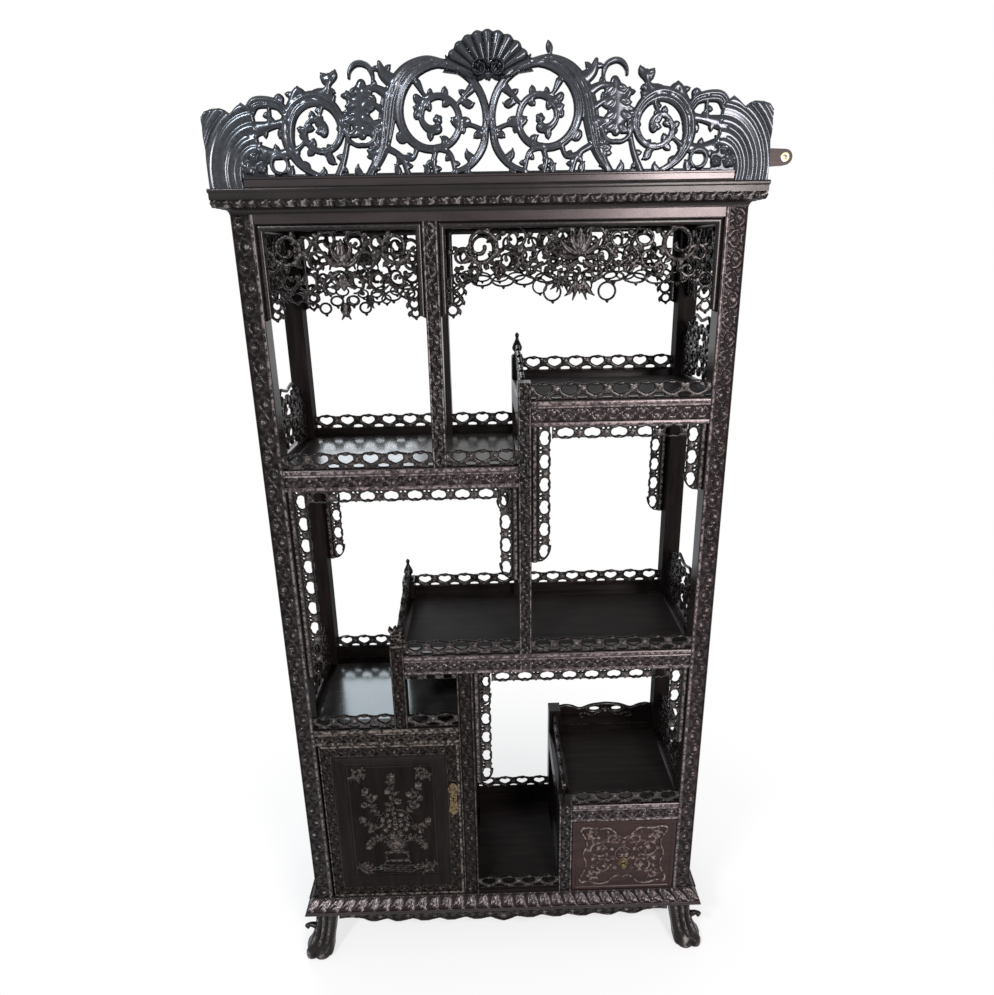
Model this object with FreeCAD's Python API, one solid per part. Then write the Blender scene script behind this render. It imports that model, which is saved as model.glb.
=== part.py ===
import FreeCAD, Part
import math
import os

# Carved openwork display cabinet: six stepped shelves between four corner posts, a hinged cupboard
# and a drawer below, pierced galleries round the shelves, pierced aprons and borders in the bays,
# a moulded cornice with a pierced scroll crest, and a moulded base on four claw feet.
# All sizes are in millimetres. X runs to the viewer's right, Y runs away from the viewer, Z is up.
# The origin is on the ground, under the middle of the whole outline.

Vector = FreeCAD.Vector

# the frame
frame_width = 1000.0      # over the corner posts
frame_depth = 348.0       # over the corner posts
post_side = 44.0          # corner posts are square
base_height = 178.0       # ground to the top of the base
divider_depth = 44.0      # depth of the inner posts and of the shelf rails
post_step = 1.5           # carved faces lie this far behind the plain beads
post_bead = 10.0          # plain bead beside the carved face
tenon_length = 12.0
tenon_thickness = 10.0
joint_clearance = 0.2     # round tenons and panel tongues

# levels above the base
floor_level = 12.0
drawer_top_level = 281.0
cupboard_top_level = 530.0
middle_level = 730.0
left_level = 1192.0
right_level = 1333.0
opening_level = 1688.0    # underside of the top rail
top_rail_height = 17.0
drawer_rail_height = 52.0
cupboard_rail_height = 46.0
middle_rail_height = 50.0
left_rail_height = 48.0
right_rail_height = 56.0
rail_bead = 10.0          # plain bead along both edges of a rail
rail_step = 3.0

# the inner posts, from the outer face of the left corner post to each post's left side
divider_a_at = 366.0
divider_a_width = 30.0
divider_b_at = 549.5
divider_b_width = 28.5
divider_c_at = 242.0
divider_c_width = 33.0
divider_d_at = 397.0
divider_d_width = 39.0
divider_e_at = 648.5
divider_e_width = 34.0
post_rise = 52.0          # rear inner posts stand this far above their shelf, to the finials
drawer_post_rise = 71.0
finial_height = 59.0
finial_radius = 13.0

# shelf boards
board_thickness = 14.0
tongue_length = 8.0
tongue_thickness = 6.0

# galleries, aprons and borders
fret_thickness = 12.0
fret_setback = 5.0
gallery_height = 38.0
left_rear_rail = 15.0      # plain rails under the rear galleries
right_rear_rail = 13.0
middle_rear_rail = 22.0
cupboard_rear_rail = 36.0
drawer_rear_rail = 22.0
floor_rear_rail = 47.0
gallery_pitch = 74.0
end_gallery_rail = 22.0    # plain foot of the galleries over the end rails
border_depth = 31.0
border_stile = 14.0       # plain strip between a post and its border
border_pitch = 90.0
apron_stile = 14.0
apron_drop = 185.0        # length of the apron's end drops
left_apron_height = 145.0
left_apron_pendant = 185.0
right_apron_height = 118.0
right_apron_pendant = 156.0
apron_pitch = 88.0
apron_edge = 7.0          # bar left round the apron's windows
mid_left_column = 180.0   # right column of the middle left bay
mid_left_long_column = 466.0
mid_right_column = 315.0  # left column of the middle right bay
mid_right_short_column = 118.0
lower_right_column = 322.0
lower_right_short_column = 190.0
niche_fret_depth = 18.0
end_guard_height = 160.0  # pierced guards at the foot of the open ends
end_border_depth = 31.0

# cornice and crest
cornice_reach = 28.0
cornice_cove = 12.0
cornice_ovolo = 24.0
cornice_bead = 9.0
crest_rail_height = 18.0
crest_rail_depth = 24.0
crest_thickness = 18.0
crest_half = 524.0        # from the middle to the end of the end leaf
crest_height = 238.0      # above the crest rail
shell_width = 168.0
shell_drop = 78.0         # shell height below the crest's top
crest_foot = 4.0          # strip along the foot of the crest, on its rail

# lug at the right end of the crest
lug_reach = 30.0
lug_radius = 14.0
lug_thickness = 10.0
lug_root = 31.0
lug_level = 21.0          # above the crest rail
eyelet_radius = 6.5
eyelet_bore = 4.0
eyelet_flange = 8.5
eyelet_lip = 1.2

# base and feet
base_flare = 27.0         # height of the slanted moulding
base_fillet = 5.0
base_reach = 28.0
end_flare_reach = 21.0    # how far the post's outer side has flared at the base
end_flare_height = 58.0
base_board_thickness = 14.0
apron_skirt = 42.0
skirt_thickness = 12.0
skirt_setback = 12.0
foot_neck = 58.0
foot_toe = 70.0
foot_spread = 34.0        # outward step of the claw

# cupboard
panel_thickness = 10.0
door_thickness = 22.0
door_gap = 1.5
door_stile = 36.0
door_moulding = 28.0
door_bevel = 5.0
door_panel_thickness = 10.0
door_setback = 2.0
pivot_radius = 3.5
pivot_length = 14.0
pivot_clearance = 0.09
plate_width = 26.0
plate_height = 98.0
plate_thickness = 2.0
keyhole_radius = 2.5
cupboard_setback = 14.0

# drawer
drawer_gap = 1.5
drawer_front_thickness = 20.0
drawer_side_thickness = 10.0
drawer_bottom_thickness = 7.0
drawer_back_gap = 18.0
drawer_side_gap = 3.0
runner_width = 20.0
runner_height = 12.0
drawer_cartouche = 2.0
knob_plate_radius = 14.0
knob_plate_thickness = 1.5
knob_neck_radius = 3.5
knob_radius = 8.0
knob_reach = 18.0

socket_depth = 9.0

cut_overrun = 5.0

x_left = -frame_width / 2
x_right = frame_width / 2
y_front = -frame_depth / 2
y_rear = frame_depth / 2


def x_at(distance):
    # X of a distance measured from the outer face of the left corner post
    return x_left + distance


def z_at(level):
    # Z of a level measured from the top of the base
    return base_height + level


def block(x0, x1, y0, y1, z0, z1):
    return Part.makeBox(x1 - x0, y1 - y0, z1 - z0, Vector(x0, y0, z0))


def polygon_face(points, holes=()):
    loops = []
    for loop in [points] + list(holes):
        loops.append(Part.makePolygon(loop + [loop[0]]))
    if len(loops) == 1:
        return Part.Face(loops[0])
    return Part.makeFace(loops, "Part::FaceMakerBullseye")


def prism_x(profile, x0, x1):
    # profile of (y, z) points run along X
    points = [Vector(x0, y, z) for y, z in profile]
    return polygon_face(points).extrude(Vector(x1 - x0, 0, 0))


def prism_y(profile, y0, y1, holes=()):
    # profile of (x, z) points run along Y
    points = [Vector(x, y0, z) for x, z in profile]
    inner = [[Vector(x, y0, z) for x, z in hole] for hole in holes]
    return polygon_face(points, inner).extrude(Vector(0, y1 - y0, 0))


def prism_z(profile, z0, z1):
    # profile of (x, y) points run along Z
    points = [Vector(x, y, z0) for x, y in profile]
    return polygon_face(points).extrude(Vector(0, 0, z1 - z0))


def faceted(rings):
    # solid with flat faces between closed rings of points, one above the other
    faces = [polygon_face(rings[0]), polygon_face(rings[-1])]
    for low, high in zip(rings, rings[1:]):
        for index in range(len(low)):
            after = (index + 1) % len(low)
            faces.append(polygon_face([low[index], low[after], high[after], high[index]]))
    solid = Part.Solid(Part.Shell(faces))
    return solid if solid.Volume > 0 else solid.reversed()


def save(name, solids):
    # the frame is modelled about its own middle, and moved so that the whole outline is centred
    moved = [solid.translated(Vector(centre_shift(), 0, 0)) for solid in solids]
    shape = moved[0] if len(moved) == 1 else Part.makeCompound(moved)
    shape.exportStep("parts/" + name + ".step")


def mirror_depth(solid):
    return solid.mirror(Vector(0, 0, 0), Vector(0, 1, 0))


# posts: the carved face is stepped back behind a plain bead at the inner edge

def post_profile(x0, x1, bead_low, bead_high):
    # seen from above, for a post at the front; beads at the low and high X edges
    low = x0 + bead_low
    high = x1 - bead_high
    points = [(x0, y_front), (low, y_front), (low, y_front + post_step)]
    if bead_low == 0:
        points = [(x0, y_front + post_step)]
    if bead_high == 0:
        points += [(x1, y_front + post_step)]
    else:
        points += [(high, y_front + post_step), (high, y_front), (x1, y_front)]
    return points + [(x1, y_front + divider_depth), (x0, y_front + divider_depth)]


def corner_flare(side):
    # the outer side of a corner post spreads to the base in a shallow hollow
    steps = 4
    outer = side * frame_width / 2
    points = [(outer - side * post_bead, z_at(0))]
    points.append((outer - side * post_bead, z_at(end_flare_height)))
    for step in range(steps + 1):
        turn = math.pi / 2 * step / steps
        reach = end_flare_reach * (1 - math.cos(turn))
        points.append((outer + side * reach, z_at(end_flare_height * (1 - math.sin(turn)))))
    return points


def corner_post(side):
    if side < 0:
        profile = post_profile(x_left, x_left + post_side, 0, post_bead)
    else:
        profile = post_profile(x_right - post_side, x_right, post_bead, 0)
    post = prism_z(profile, z_at(0), z_at(opening_level + top_rail_height))
    flare = prism_y(corner_flare(side), y_front + post_step, y_front + post_side)
    return post.fuse(flare).removeSplitter()


def divider_post(at, width, z0, z1):
    bead = post_step
    profile = post_profile(x_at(at), x_at(at) + width, bead, bead)
    return prism_z(profile, z_at(z0), z_at(z1))


# rails: two plain beads with a carved band stepped back between them, and a tenon at each end

def rail_profile(z0, z1):
    back = y_front + divider_depth
    step = y_front + rail_step
    return [
        (y_front, z1), (y_front, z1 - rail_bead), (step, z1 - rail_bead),
        (step, z0 + rail_bead), (y_front, z0 + rail_bead), (y_front, z0),
        (back, z0), (back, z1),
    ]


def tenon(x0, x1, z0, z1, grow=0):
    # tenon block of a rail that ends at x0 or x1, in the middle of the rail's depth
    middle = y_front + divider_depth / 2
    half = tenon_thickness / 2
    rise = (z1 - z0) / 4
    return block(
        x0 - tenon_length - grow, x1 + tenon_length + grow, middle - half - grow, middle + half + grow,
        z0 + rise - grow, z1 - rise + grow)


def front_rail(x0, x1, level, height):
    z1 = z_at(level)
    z0 = z1 - height
    body = prism_x(rail_profile(z0, z1), x0, x1)
    return body.fuse(tenon(x0, x1, z0, z1)).removeSplitter()


def plain_rail(x0, x1, level, height):
    z1 = z_at(level)
    z0 = z1 - height
    body = block(x0, x1, y_front, y_front + divider_depth, z0, z1)
    return body.fuse(tenon(x0, x1, z0, z1)).removeSplitter()


def front_mortise(x0, x1, level, height):
    z1 = z_at(level)
    return tenon(x0, x1, z1 - height, z1, joint_clearance)


def end_rail(x0, width, level, height):
    z1 = z_at(level)
    return block(x0, x0 + width, y_front + divider_depth, y_rear - divider_depth, z1 - height, z1)


def board(x0, x1, level, thickness):
    # shelf board let into the rails by a thin tongue on all four edges
    y0 = y_front + divider_depth
    y1 = y_rear - divider_depth
    z1 = z_at(level)
    plate = block(x0, x1, y0, y1, z1 - thickness, z1)
    return plate.fuse(tongue(x0, x1, level, thickness)).removeSplitter()


def tongue(x0, x1, level, thickness, grow=0):
    y0 = y_front + divider_depth
    y1 = y_rear - divider_depth
    middle = z_at(level) - thickness / 2
    reach = tongue_length + grow
    half = tongue_thickness / 2 + grow
    return block(x0 - reach, x1 + reach, y0 - reach, y1 + reach, middle - half, middle + half)


# shelves: name, left and right inner faces, level, rail height, and the posts that its ends meet
end_left = post_side
end_right = frame_width - post_side
b_right = divider_b_at + divider_b_width
c_right = divider_c_at + divider_c_width
d_right = divider_d_at + divider_d_width
e_right = divider_e_at + divider_e_width

shelves = {
    "left_shelf": (end_left, divider_b_at, left_level, left_rail_height, 0, divider_b_width),
    "right_shelf": (b_right, end_right, right_level, right_rail_height, divider_b_width, 0),
    "middle_shelf": (c_right, end_right, middle_level, middle_rail_height, divider_c_width, 0),
    "cupboard_top": (end_left, divider_d_at, cupboard_top_level, cupboard_rail_height, 0, divider_d_width),
    "drawer_top": (e_right, end_right, drawer_top_level, drawer_rail_height, divider_e_width, 0),
}


def shelf_rails(spec):
    low, high, level, height, low_post, high_post = spec
    x0 = x_at(low)
    x1 = x_at(high)
    groove = tongue(x0, x1, level, board_thickness, joint_clearance)
    front = front_rail(x0, x1, level, height).cut(groove)
    left_width = low_post or post_side
    right_width = high_post or post_side
    left = end_rail(x0 - left_width, left_width, level, height).cut(groove)
    right = end_rail(x1, right_width, level, height).cut(groove)
    return [front, mirror_depth(front), left, right]


# pierced work: a strip of lace is one plate with a scalloped free edge and a row of windows.
# Points are shares of the pitch along the strip and of the strip's depth.

lace_edge_shares = [(-0.5, 0.66), (-0.26, 1.0), (0.26, 1.0)]
lace_window_shares = [(-0.34, 0.36), (-0.20, 0.84), (0.20, 0.84), (0.34, 0.36)]
gallery_edge_shares = [(-0.5, 0.86), (0, 1.0)]
gallery_window_shares = [(-0.37, 0.18), (-0.22, 0.76), (0.22, 0.76), (0.37, 0.18)]


def lace(length, depth, pitch, start=0, edge=lace_edge_shares, window=lace_window_shares):
    # outline and windows of a strip, with an unpierced rail of the width start along its foot
    count = max(1, round(length / pitch))
    step = length / count
    outline = [(length, 0), (0, 0), (0, start + depth * edge[0][1])]
    for unit in range(count):
        middle = step * (unit + 0.5)
        for along, across in edge:
            if unit or along > edge[0][0]:
                outline.append((middle + step * along, start + depth * across))
    outline.append((length, start + depth * edge[0][1]))
    holes = []
    for unit in range(count):
        middle = step * (unit + 0.5)
        holes.append([(middle + step * s, start + depth * t) for s, t in window])
    return outline, holes


def plate(outline, holes, origin, along, across, through):
    # a flat pierced plate: local points laid along two directions and run through a third
    def laid(points):
        return [origin + along * s + across * t for s, t in points]

    return polygon_face(laid(outline), [laid(hole) for hole in holes]).extrude(through)


def front_plate(outline, holes, x, z, along, across):
    origin = Vector(x, y_front + fret_setback, z)
    return plate(outline, holes, origin, along, across, Vector(0, fret_thickness, 0))


ahead = Vector(1, 0, 0)
back_along = Vector(-1, 0, 0)
up = Vector(0, 0, 1)
down = Vector(0, 0, -1)
inward = Vector(0, 1, 0)


def front_gallery(low, high, level, rail=0):
    outline, holes = lace(
        high - low, gallery_height, gallery_pitch, rail, gallery_edge_shares, gallery_window_shares)
    return front_plate(outline, holes, x_at(low), z_at(level), ahead, up)


def rear_gallery(low, high, level, rail):
    return mirror_depth(front_gallery(low, high, level, rail))


def end_gallery(middle, level, front_share, rear_share):
    # gallery over an end rail, in the middle of the post's width, that climbs towards the rear
    length = frame_depth - divider_depth * 2
    outline, holes = lace(
        length, gallery_height, gallery_pitch, end_gallery_rail, gallery_edge_shares,
        gallery_window_shares)

    def climbing(points):
        return [(s, t * (front_share + (rear_share - front_share) * s / length)) for s, t in points]

    outline = climbing(outline)
    holes = [climbing(hole) for hole in holes]
    origin = Vector(x_at(middle) - fret_thickness / 2, y_front + divider_depth, z_at(level))
    return plate(outline, holes, origin, inward, up, Vector(fret_thickness, 0, 0))


rear_board_shares = [
    (0, 0), (1, 0), (1, 0.80), (0.93, 0.98), (0.82, 0.94), (0.76, 0.78), (0.66, 0.96), (0.5, 1.06),
    (0.34, 0.98), (0.22, 0.78), (0.14, 0.92), (0.05, 1.0), (0, 0.94),
]
rear_board_window_shares = [(0.30, 0.66), (0.36, 0.86), (0.43, 0.86), (0.46, 0.64)]


def arched_gallery(low, high, level):
    # the board behind the drawer top is arched, with one pair of windows
    length = high - low
    height = drawer_rear_rail + gallery_height * 1.4
    outline = [(length * s, height * t) for s, t in rear_board_shares]
    holes = [[(length * s, height * t) for s, t in rear_board_window_shares]]
    holes.append([(length * (1 - s), height * t) for s, t in rear_board_window_shares])
    board_plate = front_plate(outline, holes, x_at(low), z_at(level), ahead, up)
    return mirror_depth(board_plate)


def border(low, high, level, left_drop, right_drop):
    # border round the top of a bay: a strip under the rail and a column down each post
    x0 = x_at(low)
    x1 = x_at(high)
    z = z_at(level)
    outline, holes = lace(high - low - 2 * (border_stile + border_depth), border_depth, border_pitch)
    pieces = [front_plate(outline, holes, x0 + border_stile + border_depth, z, ahead, down)]
    outline, holes = lace(left_drop, border_depth, border_pitch, border_stile)
    pieces.append(front_plate(outline, holes, x0, z, down, ahead))
    outline, holes = lace(right_drop, border_depth, border_pitch, border_stile)
    pieces.append(front_plate(outline, holes, x1, z, down, back_along))
    return pieces + [mirror_depth(piece) for piece in pieces]


# aprons of the upper bays: end drops, a scalloped edge, a middle pendant and rows of scroll slots

def arc_points(middle, height, radius, start, end, count):
    points = []
    for step in range(count):
        turn = math.radians(start + (end - start) * step / (count - 1))
        points.append((middle + radius * math.cos(turn), height + radius * math.sin(turn)))
    return points


def scroll_slot(middle, height, radius, facing):
    # C-shaped slot round an eye: the ground between the turns of a carved scroll
    outer = arc_points(middle, height, radius, 40, 320, 5)
    inner = arc_points(middle, height, radius * 0.48, 290, 70, 3)
    if facing < 0:
        outer = [(2 * middle - s, t) for s, t in outer]
        inner = [(2 * middle - s, t) for s, t in inner]
    return outer + inner


def apron_edge_depth(share, height, pendant):
    # depth of the apron's lower edge at a share of its half width, from the middle outwards
    if share < 0.16:
        return pendant
    if share < 0.32:
        return (pendant + height) / 2
    if share > 0.90:
        return apron_drop
    if share > 0.80:
        return (apron_drop + height) / 2
    return height


def apron(low, high, level, height, pendant):
    width = high - low
    middle = width / 2
    count = 2 * round(middle / apron_pitch) + 1
    step = width / count
    half_step = step / 2
    outline = [(width, 0), (0, 0), (0, apron_drop), (apron_stile, apron_drop)]
    scallops = count + 2
    pitch = (width - 2 * apron_stile) / scallops
    holes = []
    for unit in range(scallops):
        place = apron_stile + pitch * (unit + 0.5)
        depth = apron_edge_depth(abs(place - middle) / middle, height, pendant)
        outline.append((place - pitch * 0.30, depth))
        outline.append((place + pitch * 0.30, depth))
        if unit < scallops - 1:
            following = apron_edge_depth(abs(place + pitch - middle) / middle, height, pendant)
            outline.append((place + pitch * 0.5, min(depth, following) - apron_edge))
        eye = depth - apron_edge - pitch * 0.30
        holes.append([
            (place - pitch * 0.32, eye - pitch * 0.2), (place + pitch * 0.32, eye - pitch * 0.2),
            (place, eye + pitch * 0.28)])
    outline += [(width - apron_stile, apron_drop), (width, apron_drop)]
    row_top = apron_edge
    row_bottom = height - apron_edge * 2 - pitch * 0.68
    radius = min(half_step, (row_bottom - row_top) / 2) - apron_edge / 2
    for unit in range(count):
        place = step * (unit + 0.5)
        facing = 1 if place < middle else -1
        centre = (row_top + row_bottom) / 2
        holes.append(scroll_slot(place, centre, radius, facing))
    return front_plate(outline, holes, x_at(low), z_at(level), ahead, down)


# the open ends: a strip of lace or an apron above, and a pierced guard on each rail

guard_shares = [
    (0, 0), (1, 0), (1, 0.62), (0.92, 0.86), (0.80, 0.80), (0.70, 1.0), (0.5, 0.92), (0.30, 1.0),
    (0.20, 0.80), (0.08, 0.86), (0, 0.62),
]
guard_window_shares = [
    [(0.10, 0.30), (0.20, 0.20), (0.28, 0.34), (0.20, 0.50)],
    [(0.34, 0.58), (0.42, 0.36), (0.47, 0.60), (0.42, 0.76)],
]


def end_plate(side, outline, holes, z, across):
    centre = side * (frame_width / 2 - post_side / 2) - fret_thickness / 2
    origin = Vector(centre, y_front + post_side, z)
    return plate(outline, holes, origin, inward, across, Vector(fret_thickness, 0, 0))


def end_guard(side, level):
    length = frame_depth - post_side * 2
    height = end_guard_height
    outline = [(length * s, height * t) for s, t in guard_shares]
    holes = []
    for window in guard_window_shares:
        holes.append([(length * s, height * t) for s, t in window])
        holes.append([(length * (1 - s), height * t) for s, t in window])
    return end_plate(side, outline, holes, z_at(level), up)


def end_border(side, level):
    length = frame_depth - post_side * 2
    outline, holes = lace(length, end_border_depth, border_pitch)
    return end_plate(side, outline, holes, z_at(level), down)


def end_apron(side):
    # the apron of the top bay, turned to run from front to rear
    length = frame_depth - post_side * 2
    outline, holes = lace(length, border_depth * 2, border_pitch * 1.3, left_apron_height - border_depth)
    for unit in range(4):
        place = length * (unit + 0.5) / 4
        facing = 1 if unit < 2 else -1
        radius = length / 8 - apron_edge / 2
        holes.append(scroll_slot(place, left_apron_height / 2 - apron_edge, radius, facing))
    return end_plate(side, outline, holes, z_at(opening_level), down)


# crest: carved scrolls cut from one board for each half. Each stroke is a band of changing width
# along a path; the strokes run into each other and are joined to one outline.
# Stroke points and widths are shares: heights of the crest's height above its rail, and distances
# from its middle of the half width, which is crest_span_share such shares long.

def stroke(path, widths):
    # four-sided pieces that follow a path with the given width at each of its points
    left = []
    right = []
    for index, (x, z) in enumerate(path):
        before = path[max(index - 1, 0)]
        after = path[min(index + 1, len(path) - 1)]
        run = math.hypot(after[0] - before[0], after[1] - before[1])
        nx = -(after[1] - before[1]) / run
        nz = (after[0] - before[0]) / run
        half = widths[index] / 2
        left.append((x + nx * half, z + nz * half))
        right.append((x - nx * half, z - nz * half))
    pieces = []
    for index in range(len(path) - 1):
        pieces.append([left[index], left[index + 1], right[index + 1], right[index]])
    return pieces


def flowing(stations, parts):
    # smooth curve through stations of (x, z, width), each span in the given number of parts
    flowed = []
    last = len(stations) - 1
    for index in range(last):
        p0, p1 = stations[max(index - 1, 0)], stations[index]
        p2, p3 = stations[index + 1], stations[min(index + 2, last)]
        for part in range(parts):
            t = part / parts
            flowed.append([
                (2 * b + (c - a) * t + (2 * a - 5 * b + 4 * c - d) * t ** 2
                 + (3 * b - a - 3 * c + d) * t ** 3) / 2
                for a, b, c, d in zip(p0, p1, p2, p3)])
    return flowed + [list(stations[-1])]


def spiral(spec, degrees):
    # spec: middle x, z, then (turn, radius, width) stations; one path point for each step in degrees
    middle_x, middle_z, stations = spec
    path = []
    for (turn0, radius0, width0), (turn1, radius1, width1) in zip(stations, stations[1:]):
        count = max(1, round(abs(turn1 - turn0) / degrees))
        for step in range(count + 1):
            share = step / count
            turn = math.radians(turn0 + (turn1 - turn0) * share)
            radius = radius0 + (radius1 - radius0) * share
            if step or not path:
                path.append((
                    middle_x + radius * math.cos(turn), middle_z + radius * math.sin(turn),
                    width0 + (width1 - width0) * share))
    return path


# middle x, middle z, [(turn, radius, width), ...]
crest_span_share = 2.2
spiral_shares = [
    (0.390, 0.387, [(196, 0.366, 0.055), (90, 0.385, 0.055), (0, 0.296, 0.052), (-90, 0.193, 0.045),
                    (-180, 0.160, 0.038), (-270, 0.165, 0.038), (-360, 0.130, 0.034), (-440, 0.062, 0.055)]),
    (1.320, 0.320, [(-84, 0.310, 0.030), (-40, 0.262, 0.060), (0, 0.236, 0.085), (90, 0.226, 0.085),
                    (180, 0.178, 0.040), (270, 0.140, 0.036), (360, 0.100, 0.032), (450, 0.080, 0.030),
                    (560, 0.045, 0.040)]),
    (0.960, 0.690, [(-78, 0.068, 0.036), (120, 0.068, 0.036), (282, 0.068, 0.036)]),
    (0.990, 0.300, [(170, 0.118, 0.026), (270, 0.080, 0.030), (370, 0.118, 0.026)]),
    (1.640, 0.088, [(-90, 0.062, 0.026), (90, 0.066, 0.026), (240, 0.062, 0.026)]),
]
# stations of (x, z, width): the great sweeps, and below them the tendrils and leaves
sweep_shares = [
    [(0.024, 0.360, 0.055), (0.050, 0.200, 0.060), (0.150, 0.070, 0.055), (0.300, 0.004, 0.040)],
    [(0.330, 0.768, 0.060), (0.480, 0.790, 0.050), (0.640, 0.718, 0.070), (0.752, 0.545, 0.110),
     (0.796, 0.350, 0.118), (0.840, 0.170, 0.080), (0.945, 0.004, 0.060)],
    [(1.550, 0.440, 0.060), (1.620, 0.510, 0.050), (1.800, 0.510, 0.050), (1.850, 0.400, 0.060)],
]
tendril_shares = [
    [(0.700, 0.640, 0.080), (0.790, 0.700, 0.060), (0.820, 0.780, 0.024)],
    [(0.760, 0.560, 0.060), (0.860, 0.610, 0.040), (0.940, 0.600, 0.040)],
    [(0.965, 0.640, 0.050), (0.985, 0.520, 0.110), (0.995, 0.400, 0.110), (0.985, 0.290, 0.050)],
    [(0.800, 0.450, 0.040), (0.880, 0.500, 0.034), (0.960, 0.530, 0.050)],
    [(0.900, 0.290, 0.040), (0.860, 0.310, 0.030), (0.800, 0.330, 0.050)],
    [(1.060, 0.290, 0.030), (1.100, 0.330, 0.030), (1.150, 0.380, 0.040)],
    [(1.300, 0.560, 0.080), (1.230, 0.600, 0.040), (1.205, 0.680, 0.030)],
    [(1.390, 0.520, 0.050), (1.450, 0.600, 0.040), (1.500, 0.520, 0.050), (1.540, 0.430, 0.060)],
    [(0.890, 0.300, 0.030), (0.895, 0.150, 0.034), (0.925, 0.004, 0.030)],
    [(1.090, 0.290, 0.030), (1.130, 0.140, 0.034), (1.190, 0.004, 0.044)],
    [(0.410, 0.200, 0.030), (0.440, 0.100, 0.034), (0.425, 0.004, 0.030)],
    [(0.415, 0.190, 0.030), (0.310, 0.150, 0.030), (0.270, 0.010, 0.026)],
    [(0.800, 0.200, 0.040), (0.690, 0.130, 0.034), (0.640, 0.004, 0.034)],
    [(0.560, 0.210, 0.034), (0.600, 0.120, 0.026), (0.680, 0.130, 0.034)],
    [(0.040, 0.310, 0.030), (0.150, 0.350, 0.026), (0.240, 0.330, 0.034)],
    [(0.540, 0.640, 0.044), (0.490, 0.560, 0.022), (0.420, 0.560, 0.024)],
    [(1.530, 0.390, 0.050), (1.650, 0.370, 0.034), (1.800, 0.340, 0.060)],
    [(1.520, 0.180, 0.060), (1.640, 0.160, 0.034), (1.800, 0.180, 0.080)],
    [(1.500, 0.190, 0.034), (1.440, 0.240, 0.022), (1.420, 0.290, 0.026)],
    [(1.300, 0.540, 0.040), (1.280, 0.470, 0.018), (1.330, 0.400, 0.024)],
]
flower_shares = (1.205, 0.690, 0.066)   # x, z and radius of the flower on the middle scroll
bud_shares = (0.470, 0.850, 0.040, 0.058)
end_leaf_shares = [
    (1.745, 0.0), (1.730, 0.110), (1.775, 0.180), (1.790, 0.330), (1.800, 0.470), (1.860, 0.500),
    (1.900, 0.535), (1.950, 0.495), (2.000, 0.520), (2.045, 0.485), (2.090, 0.515), (2.140, 0.490),
    (2.180, 0.500), (2.195, 0.300),
]


def crest_points(points):
    return [(x * crest_half / crest_span_share, z * crest_height) for x, z in points]


def turned_forward(points):
    # the points in the order that makes every face look the same way
    area = sum(a[0] * b[1] - b[0] * a[1] for a, b in zip(points, points[1:] + points[:1]))
    return points if area > 0 else points[::-1]


def crest_half_faces(side, with_bud):
    pieces = []
    paths = [spiral(spec, 48) for spec in spiral_shares] + [flowing(sweep, 2) for sweep in sweep_shares]
    paths += tendril_shares
    for path in paths:
        pieces += stroke([(x, z) for x, z, width in path], [width for x, z, width in path])
    x, z, radius = flower_shares
    petals = []
    for petal in range(10):
        turn = math.pi / 5 * petal
        reach = radius * (1.0 if petal % 2 else 0.6)
        petals.append((x + reach * math.cos(turn), z + reach * math.sin(turn)))
    pieces.append(petals)
    if with_bud:
        x, z, half, rise = bud_shares
        pieces.append([(x - half / 3, z - rise), (x + half / 3, z - rise), (x + half, z), (x, z + rise),
                       (x - half, z)])
    polygons = [crest_points(piece) for piece in pieces]
    leaf = crest_points(end_leaf_shares)
    leaf_foot = leaf[0][0]
    polygons.append(leaf + [(crest_half, 0), (crest_half, -crest_rail_height),
                            (leaf_foot, -crest_rail_height)])
    polygons.append([(0, 0), (crest_half, 0), (crest_half, crest_foot), (0, crest_foot)])
    base = z_at(crest_base())
    faces = []
    for points in polygons:
        laid = turned_forward([(side * x, base + z) for x, z in points])
        faces.append(polygon_face([Vector(x, y_crest(), z) for x, z in laid]))
    sheet = Part.makeCompound(faces[0].multiFuse(faces[1:]).Faces)
    sheet.sewShape()
    return sheet.removeSplitter().Faces


def crest_base():
    # level of the top of the crest rail
    return opening_level + top_rail_height + cornice_cove + cornice_ovolo + cornice_bead + crest_rail_height


def y_crest():
    return y_front - crest_rail_depth + (crest_rail_depth - crest_thickness) / 2


def crest_half_solids(side, with_bud):
    # the half is trimmed where it meets the other half, the shell and the rail under it
    far_x = -side * frame_width
    other_half = block(min(0, far_x), max(0, far_x), y_front - frame_depth, y_rear, 0, frame_width * 3)
    solids = []
    for face in crest_half_faces(side, with_bud):
        cut_board = face.extrude(Vector(0, crest_thickness, 0)).cut([other_half, crest_shell(), crest_rail()])
        solids += cut_board.Solids
    return solids


def crest_shell():
    # fan of scalloped ribs that stands where the two halves meet
    ribs = 11
    middle = z_at(crest_base()) + crest_height - shell_drop
    half = shell_width / 2
    points = []
    for rib in range(ribs + 1):
        turn = math.radians(12 + 156 * rib / ribs)
        reach = 0.96
        points.append((half * reach * math.cos(turn), middle + shell_drop * reach * math.sin(turn)))
        if rib < ribs:
            turn = math.radians(12 + 156 * (rib + 0.5) / ribs)
            points.append((half * 1.02 * math.cos(turn), middle + shell_drop * math.sin(turn)))
    points += [(-half * 0.45, middle - shell_drop * 0.05), (0, middle + shell_drop * 0.06)]
    points += [(half * 0.45, middle - shell_drop * 0.05)]
    return prism_y(points, y_crest(), y_crest() + crest_thickness)


def crest_rail():
    half = end_leaf_shares[0][0] * crest_half / crest_span_share
    top = z_at(crest_base())
    return block(-half, half, y_front - crest_rail_depth, y_front, top - crest_rail_height, top)


def foot_reach(share):
    # how far the middle of a foot stands from the middle of the frame, beyond the post's middle
    return foot_spread * share


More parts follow.
